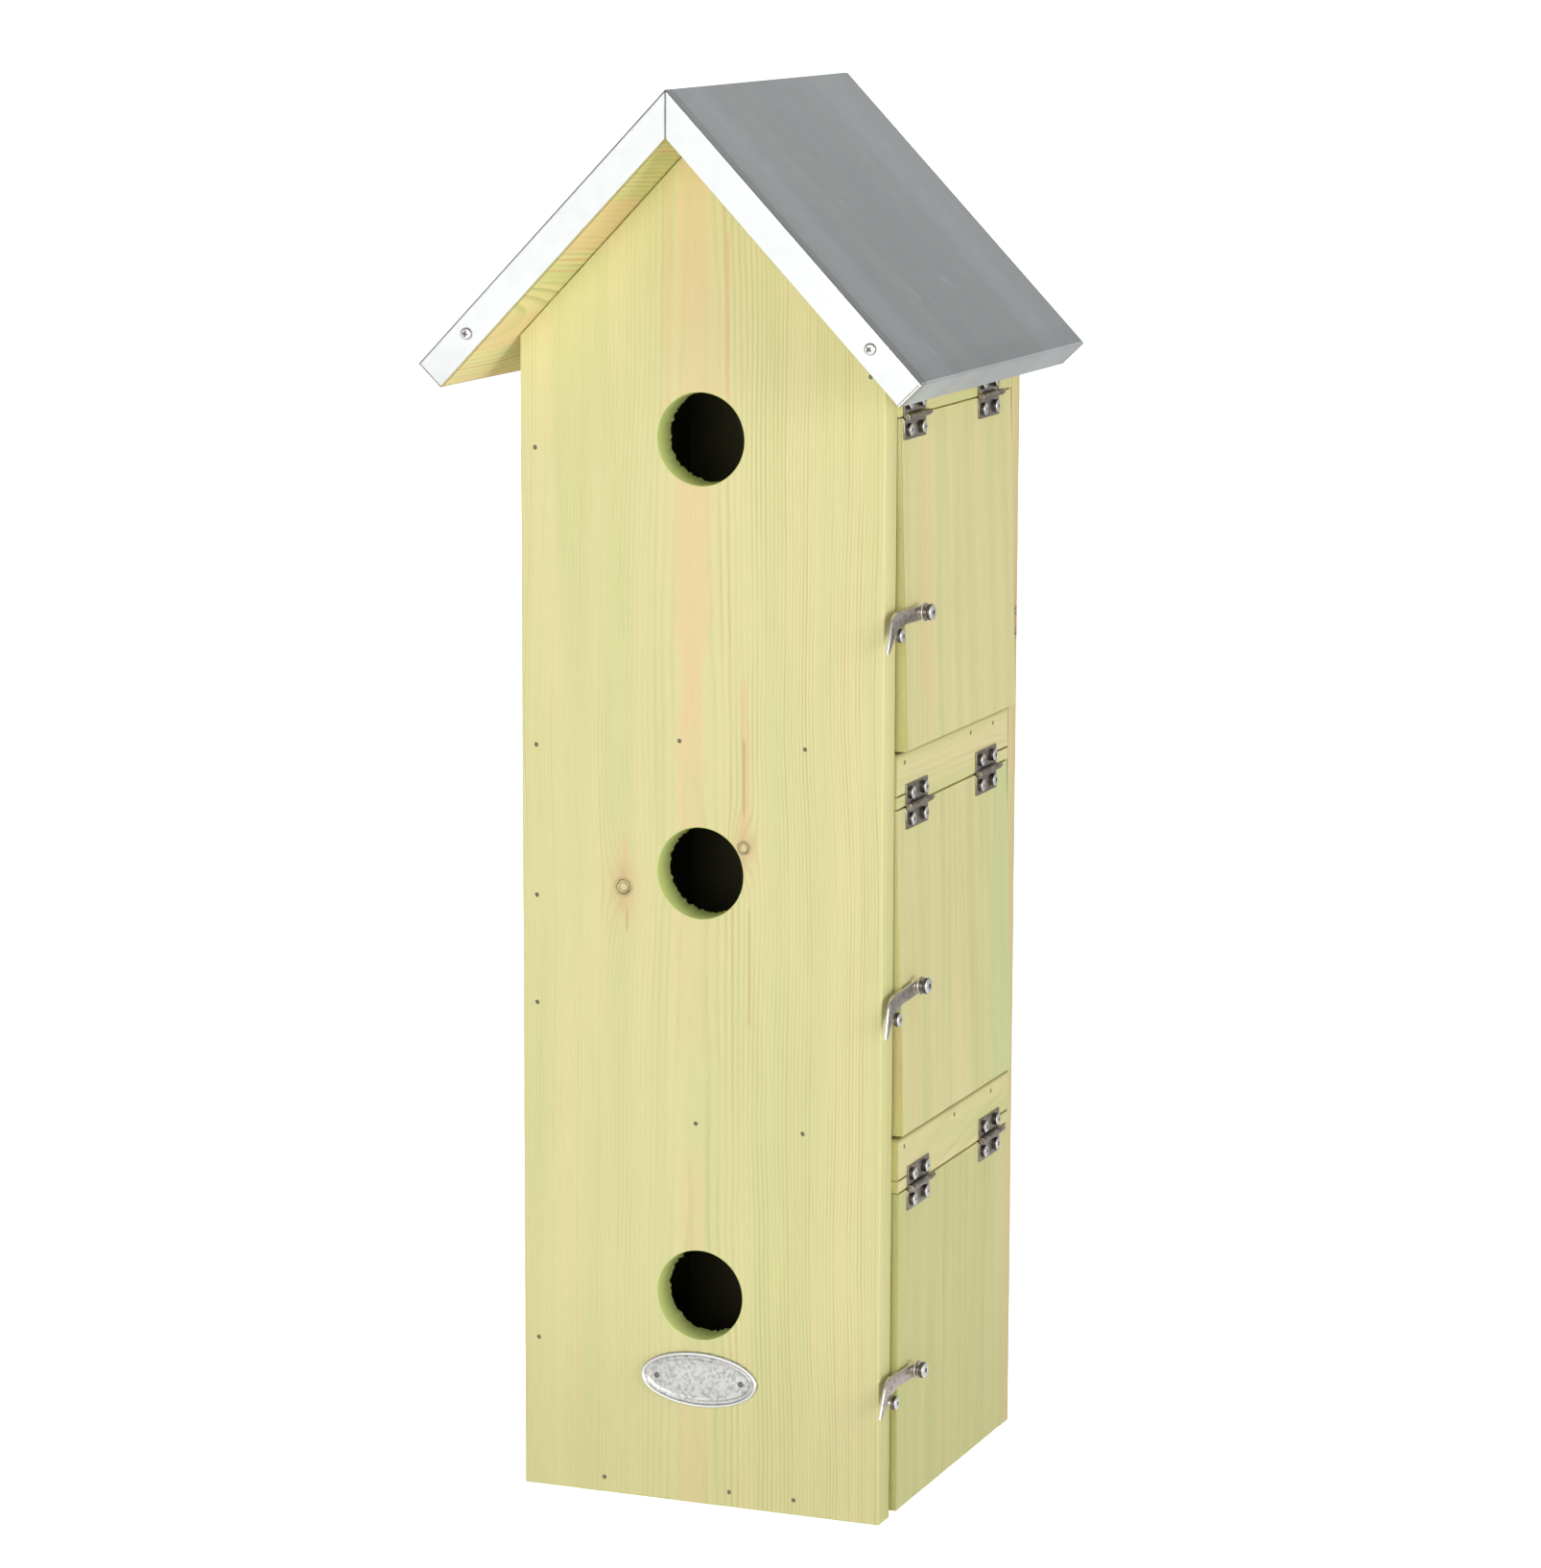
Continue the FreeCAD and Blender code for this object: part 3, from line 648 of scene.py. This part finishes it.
def roundHole(middle, radius, count):  # runs clockwise, so that the wood is on its left
    points = []
    for index in range(count):
        turn = -math.tau * index / count
        across = middle[0] + radius * math.cos(turn)
        up = middle[1] + radius * math.sin(turn)
        points.append(Vector((across, up)))
    return points


def intoWood(points):  # for each point, the direction in the face that leads into the board
    leads = []
    for before, after in zip(points[-1:] + points[:-1], points[1:] + points[:1]):
        run = (after - before).normalized()
        leads.append(Vector((-run.y, run.x)))
    return leads


def ringEdges(bm, ring):
    return [bm.edges.get((ring[index - 1], ring[index])) for index in range(len(ring))]


def boardMesh(name, outline, edge, holes, thick, place):
    # edge: easing of the outline and how sawn each of its sides looks
    # holes: points, depth (None goes right through), easing and raggedness of the far rim
    bm = bmesh.new()
    cutGrain = bm.faces.layers.float.new("cutGrain")
    inside = bm.faces.layers.float.new("inside")
    rim, rimSawn = stepped(outline, board["step"], edge["sawn"])
    loops = [(rim, None, edge["easing"], 0.0), *holes]
    faceEdges = []
    backEdges = []
    for points, depth, ease, rag in loops:
        sawn = [1.0] * len(points) if faceEdges else rimSawn
        far = thick if depth is None else depth
        bend = ease * board["bend"]
        rows = [(ease, 0.0), (bend, bend), (0.0, ease)]
        if depth is None:
            rows += [(0.0, far * board["waist"]), (0.0, far - ease), (bend, far - bend), (ease, far)]
        else:
            rows.append((0.0, far))
        leads = intoWood(points)
        grid = []
        for row, (inset, down) in enumerate(rows):
            ring = []
            for point, lead in zip(points, leads):
                stray = 0.0
                if ease > board["wanderFrom"]:
                    spot = Vector((point.x, point.y, down)) / board["wave"] + board["waveStart"]
                    stray = (noise.noise(spot) + 1) * board["wander"]
                if rag and row > 3:  # past the waist
                    spot = Vector((point.x, point.y, 0))
                    torn = noise.noise(spot / tornRim["coarse"]) + tornRim["lift"]
                    torn += tornRim["fineShare"] * noise.noise(spot / tornRim["fine"])
                    stray -= max(0.0, torn) * rag
                flat = point + lead * (inset + stray)
                ring.append(bm.verts.new((flat.x, flat.y, -down)))
            grid.append(ring)
        for upper, lower in zip(grid, grid[1:]):
            for here in range(len(points)):
                after = (here + 1) % len(points)
                wall = bm.faces.new((upper[here], lower[here], lower[after], upper[after]))
                wall.smooth = True
                wall[cutGrain] = sawn[here]
        faceEdges += ringEdges(bm, grid[0])
        if depth is None:
            backEdges += ringEdges(bm, grid[-1])
        else:
            bm.faces.new(grid[-1])[cutGrain] = 1.0
    bmesh.ops.triangle_fill(bm, use_beauty=True, edges=faceEdges, normal=(0, 0, 1))
    # the inner broad faces are marked for painted shade
    inner = bmesh.ops.triangle_fill(bm, use_beauty=True, edges=backEdges, normal=(0, 0, -1))
    for part in inner["geom"]:
        if isinstance(part, bmesh.types.BMFace):
            part[inside] = 1.0
    bmesh.ops.recalc_face_normals(bm, faces=bm.faces)
    bmesh.ops.transform(bm, matrix=place, verts=bm.verts)
    mesh = finishMesh(bm, name, board["sharp"])
    for face, mark in zip(mesh.polygons, mesh.attributes["cutGrain"].data):
        face.use_smooth = mark.value > 0  # the two broad faces stay flat
    return mesh


def facing(u, v, w, origin):  # lays a board's face on the plane of u and v, with w outwards
    turn = Matrix((u, v, w)).transposed().to_4x4()
    return Matrix.Translation(origin) @ turn


def crowns(node, direction):  # where each fixing of a node ends on its outer side
    bm = mergedCopy(node)
    seen = set()
    tops = []
    for first in bm.verts:
        if first in seen:
            continue
        seen.add(first)
        waiting = [first]
        group = []
        while waiting:
            vert = waiting.pop()
            group.append(vert.co.copy())
            for edge in vert.link_edges:
                other = edge.other_vert(vert)
                if other not in seen:
                    seen.add(other)
                    waiting.append(other)
        reach = max(spot.dot(direction) for spot in group)
        low, high = boxRound([spot for spot in group if reach - spot.dot(direction) < 2 * hair])
        tops.append((low + high) / 2)
    bm.free()
    return tops


outward = {
    "front": Vector((0, -1, 0)),
    "back": Vector((0, 1, 0)),
    "right": Vector((1, 0, 0)),
    "left": Vector((-1, 0, 0)),
}
upward = Vector((0, 0, 1))
entrance = {"radius": 17 * mm, "points": 150, "easing": 0.3 * mm, "rag": 1.1 * mm}
nailHole = {"radius": 0.85 * mm, "points": 16, "deep": 1.6 * mm, "easing": 0.1 * mm, "sunk": 0.25 * mm}
hangHole = {"points": 32, "easing": 0.25 * mm}


def nailHoles(node, direction, flatten):
    holes = []
    for spot in crowns(node, direction):
        points = roundHole(flatten(spot), nailHole["radius"], nailHole["points"])
        holes.append((points, nailHole["deep"], nailHole["easing"], 0.0))
    return holes


def gableOutline(node, drop=0.0):  # the same from both sides
    low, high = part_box(node)
    eaves = max(vert.co.z for vert in nodes[node].data.vertices if vert.co.x > high.x - hair) - drop
    corners = [(low.x, low.z), (high.x, low.z), (high.x, eaves), (0.0, high.z - drop), (low.x, eaves)]
    return low, high, corners


def sideOutline(low, high):  # of a board seen from the right
    return [(low.y, low.z), (high.y, low.z), (high.y, high.z), (low.y, high.z)]


def frontBoard():
    low, high, corners = gableOutline("front_board", gableEdge["underRoof"])
    holes = nailHoles("front_nails", outward["front"], lambda spot: (spot.x, spot.z))
    for tier in tiers:
        (_, _, bottom), (_, _, top) = openings[tier + "_entrance"]["box_m"]
        points = roundHole((0.0, (bottom + top) / 2), entrance["radius"], entrance["points"])
        holes.append((points, None, entrance["easing"], entrance["rag"]))
    place = facing(outward["right"], upward, outward["front"], (0, low.y, 0))
    mesh = boardMesh("frontBoard", corners, gableEdge, holes, high.y - low.y, place)
    addPiece("frontBoard", mesh, pine["front"], "box", "stained_pine", "front_board")


def backBoard():
    low, high, corners = gableOutline("back_board")
    holes = nailHoles("back_nails", outward["back"], lambda spot: (-spot.x, spot.z))
    hang = mounts["wall_screws"]
    for side in (-0.5, 0.5):
        middle = (0.0, hang["pos_m"][2] + side * hang["dims"]["spacing_y_mm"] * mm)
        points = roundHole(middle, hang["dims"]["hole_r_mm"] * mm, hangHole["points"])
        holes.append((points, None, hangHole["easing"], 0.0))
    place = facing(outward["left"], upward, outward["back"], (0, high.y, 0))
    mesh = boardMesh("backBoard", corners, gableEdge, holes, high.y - low.y, place)
    addPiece("backBoard", mesh, pine["back"], "box", "stained_pine", "back_board")


def sideBoard():
    low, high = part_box("left_side_board")
    corners = [(-high.y, low.z), (-low.y, low.z), (-low.y, high.z), (-high.y, high.z)]
    place = facing(outward["front"], upward, outward["left"], (low.x, 0, 0))
    mesh = boardMesh("leftSide", corners, gableEdge, [], high.x - low.x, place)
    addPiece("leftSide", mesh, pine["leftSide"], "box", "stained_pine", "left_side_board")


def railBoard(tier):
    low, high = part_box("rail_" + tier)
    nailsHere = nailHoles("rail_nails", outward["right"], lambda spot: (spot.y, spot.z))
    holes = [hole for hole in nailsHere if low.z < hole[0][0].y < high.z]
    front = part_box("hinge_rail_leaf_" + tier + "_front")[0].y
    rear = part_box("hinge_rail_leaf_" + tier + "_back")[1].y
    level = low.z + kerf["above"]
    for start, end in ((low.y + kerf["margin"], front), (rear, high.y - kerf["margin"])):
        under = level - kerf["half"]
        above = level + kerf["half"]
        slit = [Vector(spot) for spot in ((start, under), (start, above), (end, above), (end, under))]
        holes.append((slit, kerf["deep"], kerf["easing"], 0.0))
    place = facing(outward["back"], upward, outward["right"], (high.x, 0, 0))
    name = "rail" + tier.title()
    mesh = boardMesh(name, sideOutline(low, high), railEdge, holes, high.x - low.x, place)
    addPiece(name, mesh, pine["rails"], "box", "stained_pine", "rail_" + tier)


def ajarTurn(tier):  # from the closed place to where the door hangs
    hinge = joints[tier + "_door_hinge"]
    axle = Vector(hinge["pos_m"])
    turn = Matrix.Rotation(math.radians(-hinge["range_deg"][0]), 4, Vector(hinge["axis"]))
    return Matrix.Translation(axle) @ turn @ Matrix.Translation(-axle)


def doorBoard(tier):
    hang = ajarTurn(tier)
    shut = hang.inverted()
    low, high = boxRound([shut @ vert.co for vert in nodes["door_" + tier].data.vertices])
    place = hang @ facing(outward["back"], upward, outward["right"], (high.x, 0, 0))
    name = "door" + tier.title()
    mesh = boardMesh(name, sideOutline(low, high), doorEdge, [], high.x - low.x, place)
    addPiece(name, mesh, pine[name], tier + "_door", "stained_pine", "door_" + tier)


frontBoard()
backBoard()
sideBoard()
for tierName in ("bottom", "middle"):
    railBoard(tierName)
for tierName in tiers:
    doorBoard(tierName)
    dressNode("floor_" + tierName, pine["floors"])
dressNode("rail_top", pine["rails"])
dressNode("roof_board_left", pine["roofLeft"])
dressNode("roof_board_right", pine["roofRight"])
dressNode("roof_cap", zinc)
dressNode("roof_nails", nailSteel)
print("boards made")


# Hardware keeps its frame shape, with its sharp edges eased
hardware = {
    "leafEase": 0.12 * mm,
    "pinEase": 0.15 * mm,
    "hookEase": 0.16 * mm,
    "ringEase": 0.08 * mm,
    "flatTo": 1.0,  # angles between faces, in degrees
    "easeFrom": 35,
    "sharp": 38,
}


def easedPiece(name, node, easing, material):
    bm = mergedCopy(node)
    flat = math.radians(hardware["flatTo"])
    bmesh.ops.dissolve_limit(bm, angle_limit=flat, verts=bm.verts, edges=bm.edges)
    least = math.radians(hardware["easeFrom"])
    hard = [edge for edge in bm.edges if edge.calc_face_angle(0.0) > least]
    bmesh.ops.bevel(bm, geom=hard, offset=easing, segments=2, profile=0.5, affect="EDGES",
                    clamp_overlap=True)
    sheared = bm.faces.layers.float.new("sheared")
    for face in bm.faces:
        face.smooth = True
        face[sheared] = 1.0 if abs(face.normal.x) < 0.5 else 0.0  # painted highlight on the sheet's cut edges
    mesh = finishMesh(bm, name, hardware["sharp"])
    addPiece(name, mesh, material, nodes[node]["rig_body"], "nickel_hardware", node)


for tierName in tiers:
    title = tierName.title()
    for side in ("front", "back"):
        tail = title + side.title()
        ending = tierName + "_" + side
        for leafKind in ("rail", "door"):
            leafNode = "hinge_" + leafKind + "_leaf_" + ending
            easedPiece(leafKind + "Leaf" + tail, leafNode, hardware["leafEase"], hingeSteel)
        easedPiece("hingePin" + tail, "hinge_pin_" + ending, hardware["pinEase"], hingeSteel)
    easedPiece("hook" + title, "latch_hook_" + tierName, hardware["hookEase"], nickel)
    for ringKind in ("collar", "washer"):
        easedPiece(ringKind + title, "latch_" + ringKind + "_" + tierName, hardware["ringEase"], nickel)
print("hardware eased")


# Screws, nails and pins: one pattern each, set out by nodes
fixingSizes = {  # in millimetres; what has a recess is a screw
    "hinge": {"head": 2.4, "rise": 1.6, "rim": 1.05, "shank": 0.9, "shankLong": 6.0, "recess": 1.0},
    "pivot": {"head": 3.0, "rise": 2.0, "rim": 1.3, "shank": 1.2, "shankLong": 5.0, "recess": 1.3},
    "catch": {"head": 2.6, "rise": 2.0, "rim": 1.3, "shank": 1.2, "shankLong": 8.0, "recess": 1.1},
    "cap": {"head": 2.2, "rise": 1.2, "rim": 0.6, "shank": 0.9, "shankLong": 8.0, "recess": 1.35},
    "nail": {"head": 0.8, "rise": 0.18, "rim": 0.05, "shank": 0.65, "shankLong": 20.0},
    "badgePin": {"head": 1.1, "rise": 0.5, "rim": 0.15, "shank": 0.6, "shankLong": 6.0},
}
fixing = {"screwSides": 28, "pinSides": 16, "sharp": 45, "flankFrom": 0.96}
dome = {"steps": (0.2, 0.4, 0.6, 0.8, 0.93), "fullness": 0.6, "underside": 0.97, "lip": 0.3}
crossSlot = {"width": 0.3, "taper": 0.6, "deep": 0.45}  # shares of the recess and of the head's rise


def latheMesh(name, profile, count):  # profile runs from the foot to the crown, both on the axis
    bm = bmesh.new()
    flank = bm.faces.layers.float.new("flank")
    widest = max(radius for radius, level in profile)
    rings = []
    for radius, level in profile:
        if radius == 0:
            rings.append([bm.verts.new((0, 0, level))] * count)
            continue
        ring = []
        for index in range(count):
            turn = math.tau * index / count
            ring.append(bm.verts.new((radius * math.cos(turn), radius * math.sin(turn), level)))
        rings.append(ring)
    for row, (lower, upper) in enumerate(zip(rings, rings[1:])):
        # painted shade: the head's upright side is marked to be coloured dark
        upright = min(profile[row][0], profile[row + 1][0]) > fixing["flankFrom"] * widest
        for here in range(count):
            after = (here + 1) % count
            corners = []
            for vert in (lower[here], lower[after], upper[after], upper[here]):
                if vert not in corners:
                    corners.append(vert)
            wall = bm.faces.new(corners)
            wall.smooth = True
            wall[flank] = 1.0 if upright else 0.0
    bmesh.ops.recalc_face_normals(bm, faces=bm.faces)
    return finishMesh(bm, name, fixing["sharp"])


def domedProfile(size):
    head, rim, rise = (size[part] for part in ("head", "rim", "rise"))
    foot = -size["shankLong"]
    profile = [(0.0, foot), (size["shank"], foot), (size["shank"], 0.0)]
    profile += [(head * dome["underside"], 0.0), (head, rim * dome["lip"]), (head, rim)]
    for step in dome["steps"]:
        turn = step * math.pi / 2
        level = rim + (rise - rim) * math.sin(turn)
        profile.append((head * math.cos(turn) ** dome["fullness"], level))
    profile.append((0.0, rise))
    return profile


def plainMesh(holder, name):  # what an object's modifiers make of it
    ready = holder.evaluated_get(bpy.context.evaluated_depsgraph_get())
    mesh = bpy.data.meshes.new_from_object(ready)
    mesh.name = name
    return mesh


def crossCut(name, mesh, size):  # a tapered cross recess in the crown
    bm = bmesh.new()
    reach = size["recess"]
    slot = reach * crossSlot["width"]
    for long, wide in ((reach, slot), (slot, reach)):
        for vert in bmesh.ops.create_cube(bm, size=2.0)["verts"]:
            taper = 1.0 if vert.co.z > 0 else crossSlot["taper"]
            level = size["rise"] + vert.co.z * size["rise"] * crossSlot["deep"]
            vert.co = Vector((vert.co.x * long * taper, vert.co.y * wide * taper, level))
    cutter = addObject("crossCutter", finishMesh(bm, "crossCutter", fixing["sharp"]))
    blank = addObject("screwBlank", mesh)
    cut = blank.modifiers.new("cross", "BOOLEAN")
    cut.operation = "DIFFERENCE"
    cut.solver = "EXACT"
    cut.use_self = True
    cut.object = cutter
    whole = plainMesh(blank, name)
    whole.set_sharp_from_angle(angle=math.radians(fixing["sharp"]))
    for face, mark in zip(whole.polygons, whole.attributes["flank"].data):
        if face.center.xy.length < size["recess"] and 0 < face.center.z < size["rise"] * 0.9:
            mark.value = 1.0  # painted shade: the recess is coloured dark
    for spent in (blank, cutter):
        bpy.data.objects.remove(spent)
    return whole


def fixingTree():
    tree = bpy.data.node_groups.new("fixings", "GeometryNodeTree")
    sockets = {"Points": "Geometry", "Pattern": "Object", "Facing": "Vector", "Seed": "Int",
               "Finish": "Material"}
    for name, kind in sockets.items():
        tree.interface.new_socket(name, in_out="INPUT", socket_type="NodeSocket" + kind)
    tree.interface.new_socket("Fixings", in_out="OUTPUT", socket_type="NodeSocketGeometry")
    wire = Wire(tree)
    given = {name: wire.node("NodeGroupInput", None, None, name) for name in sockets}
    pattern = wire.node("GeometryNodeObjectInfo", None, {"Object": given["Pattern"]}, "Geometry")
    spin = wire.node("FunctionNodeRandomValue", {"data_type": "FLOAT"},
                     {2: 0.0, 3: math.tau, "Seed": given["Seed"]}, 1)
    spin = wire.node("ShaderNodeCombineXYZ", None, {2: spin})
    spin = wire.node("FunctionNodeEulerToRotation", None, {0: spin})
    lean = wire.node("FunctionNodeEulerToRotation", None, {0: given["Facing"]})
    turn = wire.node("FunctionNodeRotateRotation", {"rotation_space": "LOCAL"}, {0: lean, 1: spin})
    values = {"Points": given["Points"], "Instance": pattern, "Rotation": turn}
    spread = wire.node("GeometryNodeInstanceOnPoints", None, values)
    spread = wire.node("GeometryNodeRealizeInstances", None, {0: spread})
    values = {"Geometry": spread, "Material": given["Finish"]}
    spread = wire.node("GeometryNodeSetMaterial", None, values)
    wire.node("NodeGroupOutput", None, {0: spread})
    return tree


fixings = fixingTree()
patterns = {}
for kind, lengths in fixingSizes.items():
    size = {part: length * mm for part, length in lengths.items()}
    profile = domedProfile(size)
    if "recess" in size:
        blankMesh = latheMesh(kind + "Blank", profile, fixing["screwSides"])
        shape = crossCut(kind + "Screw", blankMesh, size)
    else:
        shape = latheMesh(kind, profile, fixing["pinSides"])
    patterns[kind] = addObject(kind + "Pattern", shape)


def setOut(name, node, direction, kind, material, slotName, seed):
    sink = fixingSizes[kind]["rise"] * mm
    if kind == "nail":
        sink += nailHole["sunk"]
    mesh = bpy.data.meshes.new(name)
    mesh.from_pydata([crown - direction * sink for crown in crowns(node, direction)], [], [])
    holder = addObject(name + "Points", mesh)
    spread = holder.modifiers.new("fixings", "NODES")
    spread.node_group = fixings
    given = {"Pattern": patterns[kind], "Seed": seed, "Finish": material}
    given["Facing"] = direction.to_track_quat("Z", "Y").to_euler()
    for socket in fixings.interface.items_tree:
        if socket.name in given:
            spread[socket.identifier] = given[socket.name]
    made = plainMesh(holder, name)
    holder.modifiers.clear()
    bpy.data.objects.remove(holder)
    addPiece(name, made, material, nodes[node]["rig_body"], slotName, node)


boxFixings = (  # piece, node, side, pattern, finish and slot
    ("frontNails", "front_nails", "front", "nail", nailSteel, "steel_nails"),
    ("backNails", "back_nails", "back", "nail", nailSteel, "steel_nails"),
    ("railNails", "rail_nails", "right", "nail", nailSteel, "steel_nails"),
    ("badgePins", "badge_pins", "front", "badgePin", nailSteel, "pewter_badge"),
    ("capScrews", "cap_screws", "front", "cap", screwSteel, "nickel_hardware"),
    ("railScrews", "hinge_rail_screws", "right", "hinge", screwSteel, "nickel_hardware"),
    ("catchScrews", "catch_screws", "right", "catch", screwSteel, "nickel_hardware"),
)
for seed, (name, node, side, kind, material, slotName) in enumerate(boxFixings):
    setOut(name, node, outward[side], kind, material, slotName, seed)
for seed, tierName in enumerate(tiers, len(boxFixings)):
    outwards = ajarTurn(tierName).to_3x3() @ outward["right"]
    name = "doorScrews" + tierName.title()
    node = "hinge_door_screws_" + tierName
    setOut(name, node, outwards, "hinge", screwSteel, "nickel_hardware", seed)
    outwards = -Vector(joints[tierName + "_latch_pivot"]["axis"]).normalized()
    name = "pivotScrew" + tierName.title()
    node = "latch_pivot_screw_" + tierName
    setOut(name, node, outwards, "pivot", screwSteel, "nickel_hardware", seed + len(tiers))
for pattern in patterns.values():
    bpy.data.objects.remove(pattern)
print("fixings set out")


# Oval badge, bare: a rounded rim, a fine raised line and a plain field
badge = {
    "points": 120,
    "sharp": 50,
    "rows": (  # inset from the edge and height, in millimetres
        (0.0, 0.0), (0.0, 0.8), (0.15, 1.2), (0.45, 1.45), (0.8, 1.5), (1.15, 1.4), (1.4, 1.15),
        (1.55, 0.9), (1.9, 0.86), (2.05, 1.02), (2.3, 1.06), (2.55, 1.02), (2.7, 0.88),
        (4.0, 0.9), (6.0, 0.94), (8.5, 0.98), (10.6, 1.0),
    ),
}


def badgeMesh():
    low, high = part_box("badge")
    halfWide = (high.x - low.x) / 2
    halfTall = (high.z - low.z) / 2
    middle = (low + high) / 2
    bm = bmesh.new()
    rings = []
    for inset, height in badge["rows"]:
        ring = []
        for index in range(badge["points"]):
            turn = math.tau * index / badge["points"]
            x = middle.x + (halfWide - inset * mm) * math.cos(turn)
            z = middle.z + (halfTall - inset * mm) * math.sin(turn)
            ring.append(bm.verts.new((x, high.y - height * mm, z)))
        rings.append(ring)
    for outer, inner in zip(rings, rings[1:]):
        for here in range(badge["points"]):
            after = (here + 1) % badge["points"]
            bm.faces.new((outer[here], outer[after], inner[after], inner[here])).smooth = True
    bm.faces.new(rings[0])
    bm.faces.new(rings[-1])
    bmesh.ops.recalc_face_normals(bm, faces=bm.faces)
    return finishMesh(bm, "badgePlate", badge["sharp"])


addPiece("badgePlate", badgeMesh(), pewter, "box", "pewter_badge", "badge")
print("badge made")


# Studio: pale floor, soft light from three sides, camera where the photograph was taken
studio = {
    "white": 1.0,  # the floor and the sky as the camera sees them
    "floorHalf": 60.0,
    "floorColour": (0.82, 0.82, 0.82, 1),
    "mirrorFront": 1.0,  # the floor as metal sees it, before the box and behind it
    "mirrorBack": 0.45,
    "mirrorFade": (0.0, 0.8),
    "skyLow": 0.8,  # the sky as metal sees it, low and high
    "skyHigh": 0.3,
    "skyFade": (0.06, 0.36),
    "skyCorner": 0.4,  # how much duller it is behind on the left
    "skyLight": 0.4,
    "lamps": (  # name, place, size, power, and whether metal mirrors it
        ("frontLight", (0.2, -2.9, 0.3), 1.7, 55.0, True),
        ("sideLight", (2.75, -0.8, 0.5), 1.5, 41.0, True),
        ("backLight", (-2.2, 2.1, 0.7), 1.8, 32.0, False),
    ),
    "target": (0.0, 0.0, 0.26),
}
cameraSet = {
    "eye": (0.72171, -1.8092, 0.60615),
    "yaw": 21.601,
    "pitch": 9.895,
    "roll": 0.193,
    "lens": 120.02,
    "sensor": 36.0,
    "sight": 200.0,
}


def makeFloor():
    half = studio["floorHalf"]
    mesh = bpy.data.meshes.new("floor")
    spots = [(-half, -half, 0), (half, -half, 0), (half, half, 0), (-half, half, 0)]
    mesh.from_pydata(spots, [], [(0, 1, 2, 3)])
    material = bpy.data.materials.new("floor")
    wire = emptyTree(material)
    matt = wire.node("ShaderNodeBsdfDiffuse", None, {"Color": studio["floorColour"]})
    seen = wire.node("ShaderNodeLightPath", None, None, "Is Camera Ray")
    mirrored = wire.node("ShaderNodeLightPath", None, None, "Is Glossy Ray")
    glow = wire.node("ShaderNodeEmission", None, {"Strength": seen * studio["white"]})
    both = wire.node("ShaderNodeAddShader", None, {0: matt, 1: glow})
    place = wire.node("ShaderNodeTexCoord", None, None, "Object")
    behind = place.part("Y").smooth(*studio["mirrorFade"])
    level = studio["mirrorFront"] + behind * (studio["mirrorBack"] - studio["mirrorFront"])
    mirror = wire.node("ShaderNodeEmission", None, {"Strength": level})
    surface = wire.node("ShaderNodeMixShader", None, {0: mirrored, 1: both, 2: mirror})
    wire.node("ShaderNodeOutputMaterial", None, {"Surface": surface})
    mesh.materials.append(material)
    floor = addObject("floor", mesh)


def makeSky():
    world = bpy.data.worlds.new("studio")
    bpy.context.scene.world = world
    wire = emptyTree(world)
    aim = wire.node("ShaderNodeTexCoord", None, None, "Generated")
    toSide, toBack, rise = (aim.part(axis) for axis in "XYZ")
    mirrored = wire.node("ShaderNodeLightPath", None, None, "Is Glossy Ray")
    seen = wire.node("ShaderNodeLightPath", None, None, "Is Camera Ray")
    mirror = studio["skyLow"] + rise.smooth(*studio["skyFade"]) * (studio["skyHigh"] - studio["skyLow"])
    corner = toSide.smooth(0.0, -0.6) * toBack.smooth(-0.2, 0.4) * studio["skyCorner"]
    mirror = mirror * (1 - corner)
    strength = studio["skyLight"] + mirrored * (mirror - studio["skyLight"])
    strength = strength + seen * (studio["white"] - strength)
    back = wire.node("ShaderNodeBackground", None, {"Color": (1, 1, 1, 1), "Strength": strength})
    wire.node("ShaderNodeOutputWorld", None, {"Surface": back})


def makeLamp(name, place, size, power, mirrored):
    lamp = bpy.data.lights.new(name, "AREA")
    lamp.size = size
    lamp.energy = power
    holder = addObject(name, lamp)
    holder.location = place
    holder.visible_glossy = mirrored
    aim = Vector(studio["target"]) - holder.location
    holder.rotation_euler = aim.to_track_quat("-Z", "Y").to_euler()


def makeCamera():
    lens = bpy.data.cameras.new("camera")
    lens.sensor_fit = "VERTICAL"
    lens.sensor_height = cameraSet["sensor"]
    lens.lens = cameraSet["lens"]
    lens.clip_end = cameraSet["sight"]
    holder = addObject("camera", lens)
    holder.location = cameraSet["eye"]
    holder.rotation_euler = (math.radians(90 - cameraSet["pitch"]), 0, math.radians(cameraSet["yaw"]))
    holder.rotation_euler.rotate_axis("Z", math.radians(cameraSet["roll"]))
    bpy.context.scene.camera = holder


makeFloor()
makeSky()
for lampSet in studio["lamps"]:
    makeLamp(*lampSet)
makeCamera()
bpy.context.scene.view_settings.view_transform = "Standard"
print("studio ready")
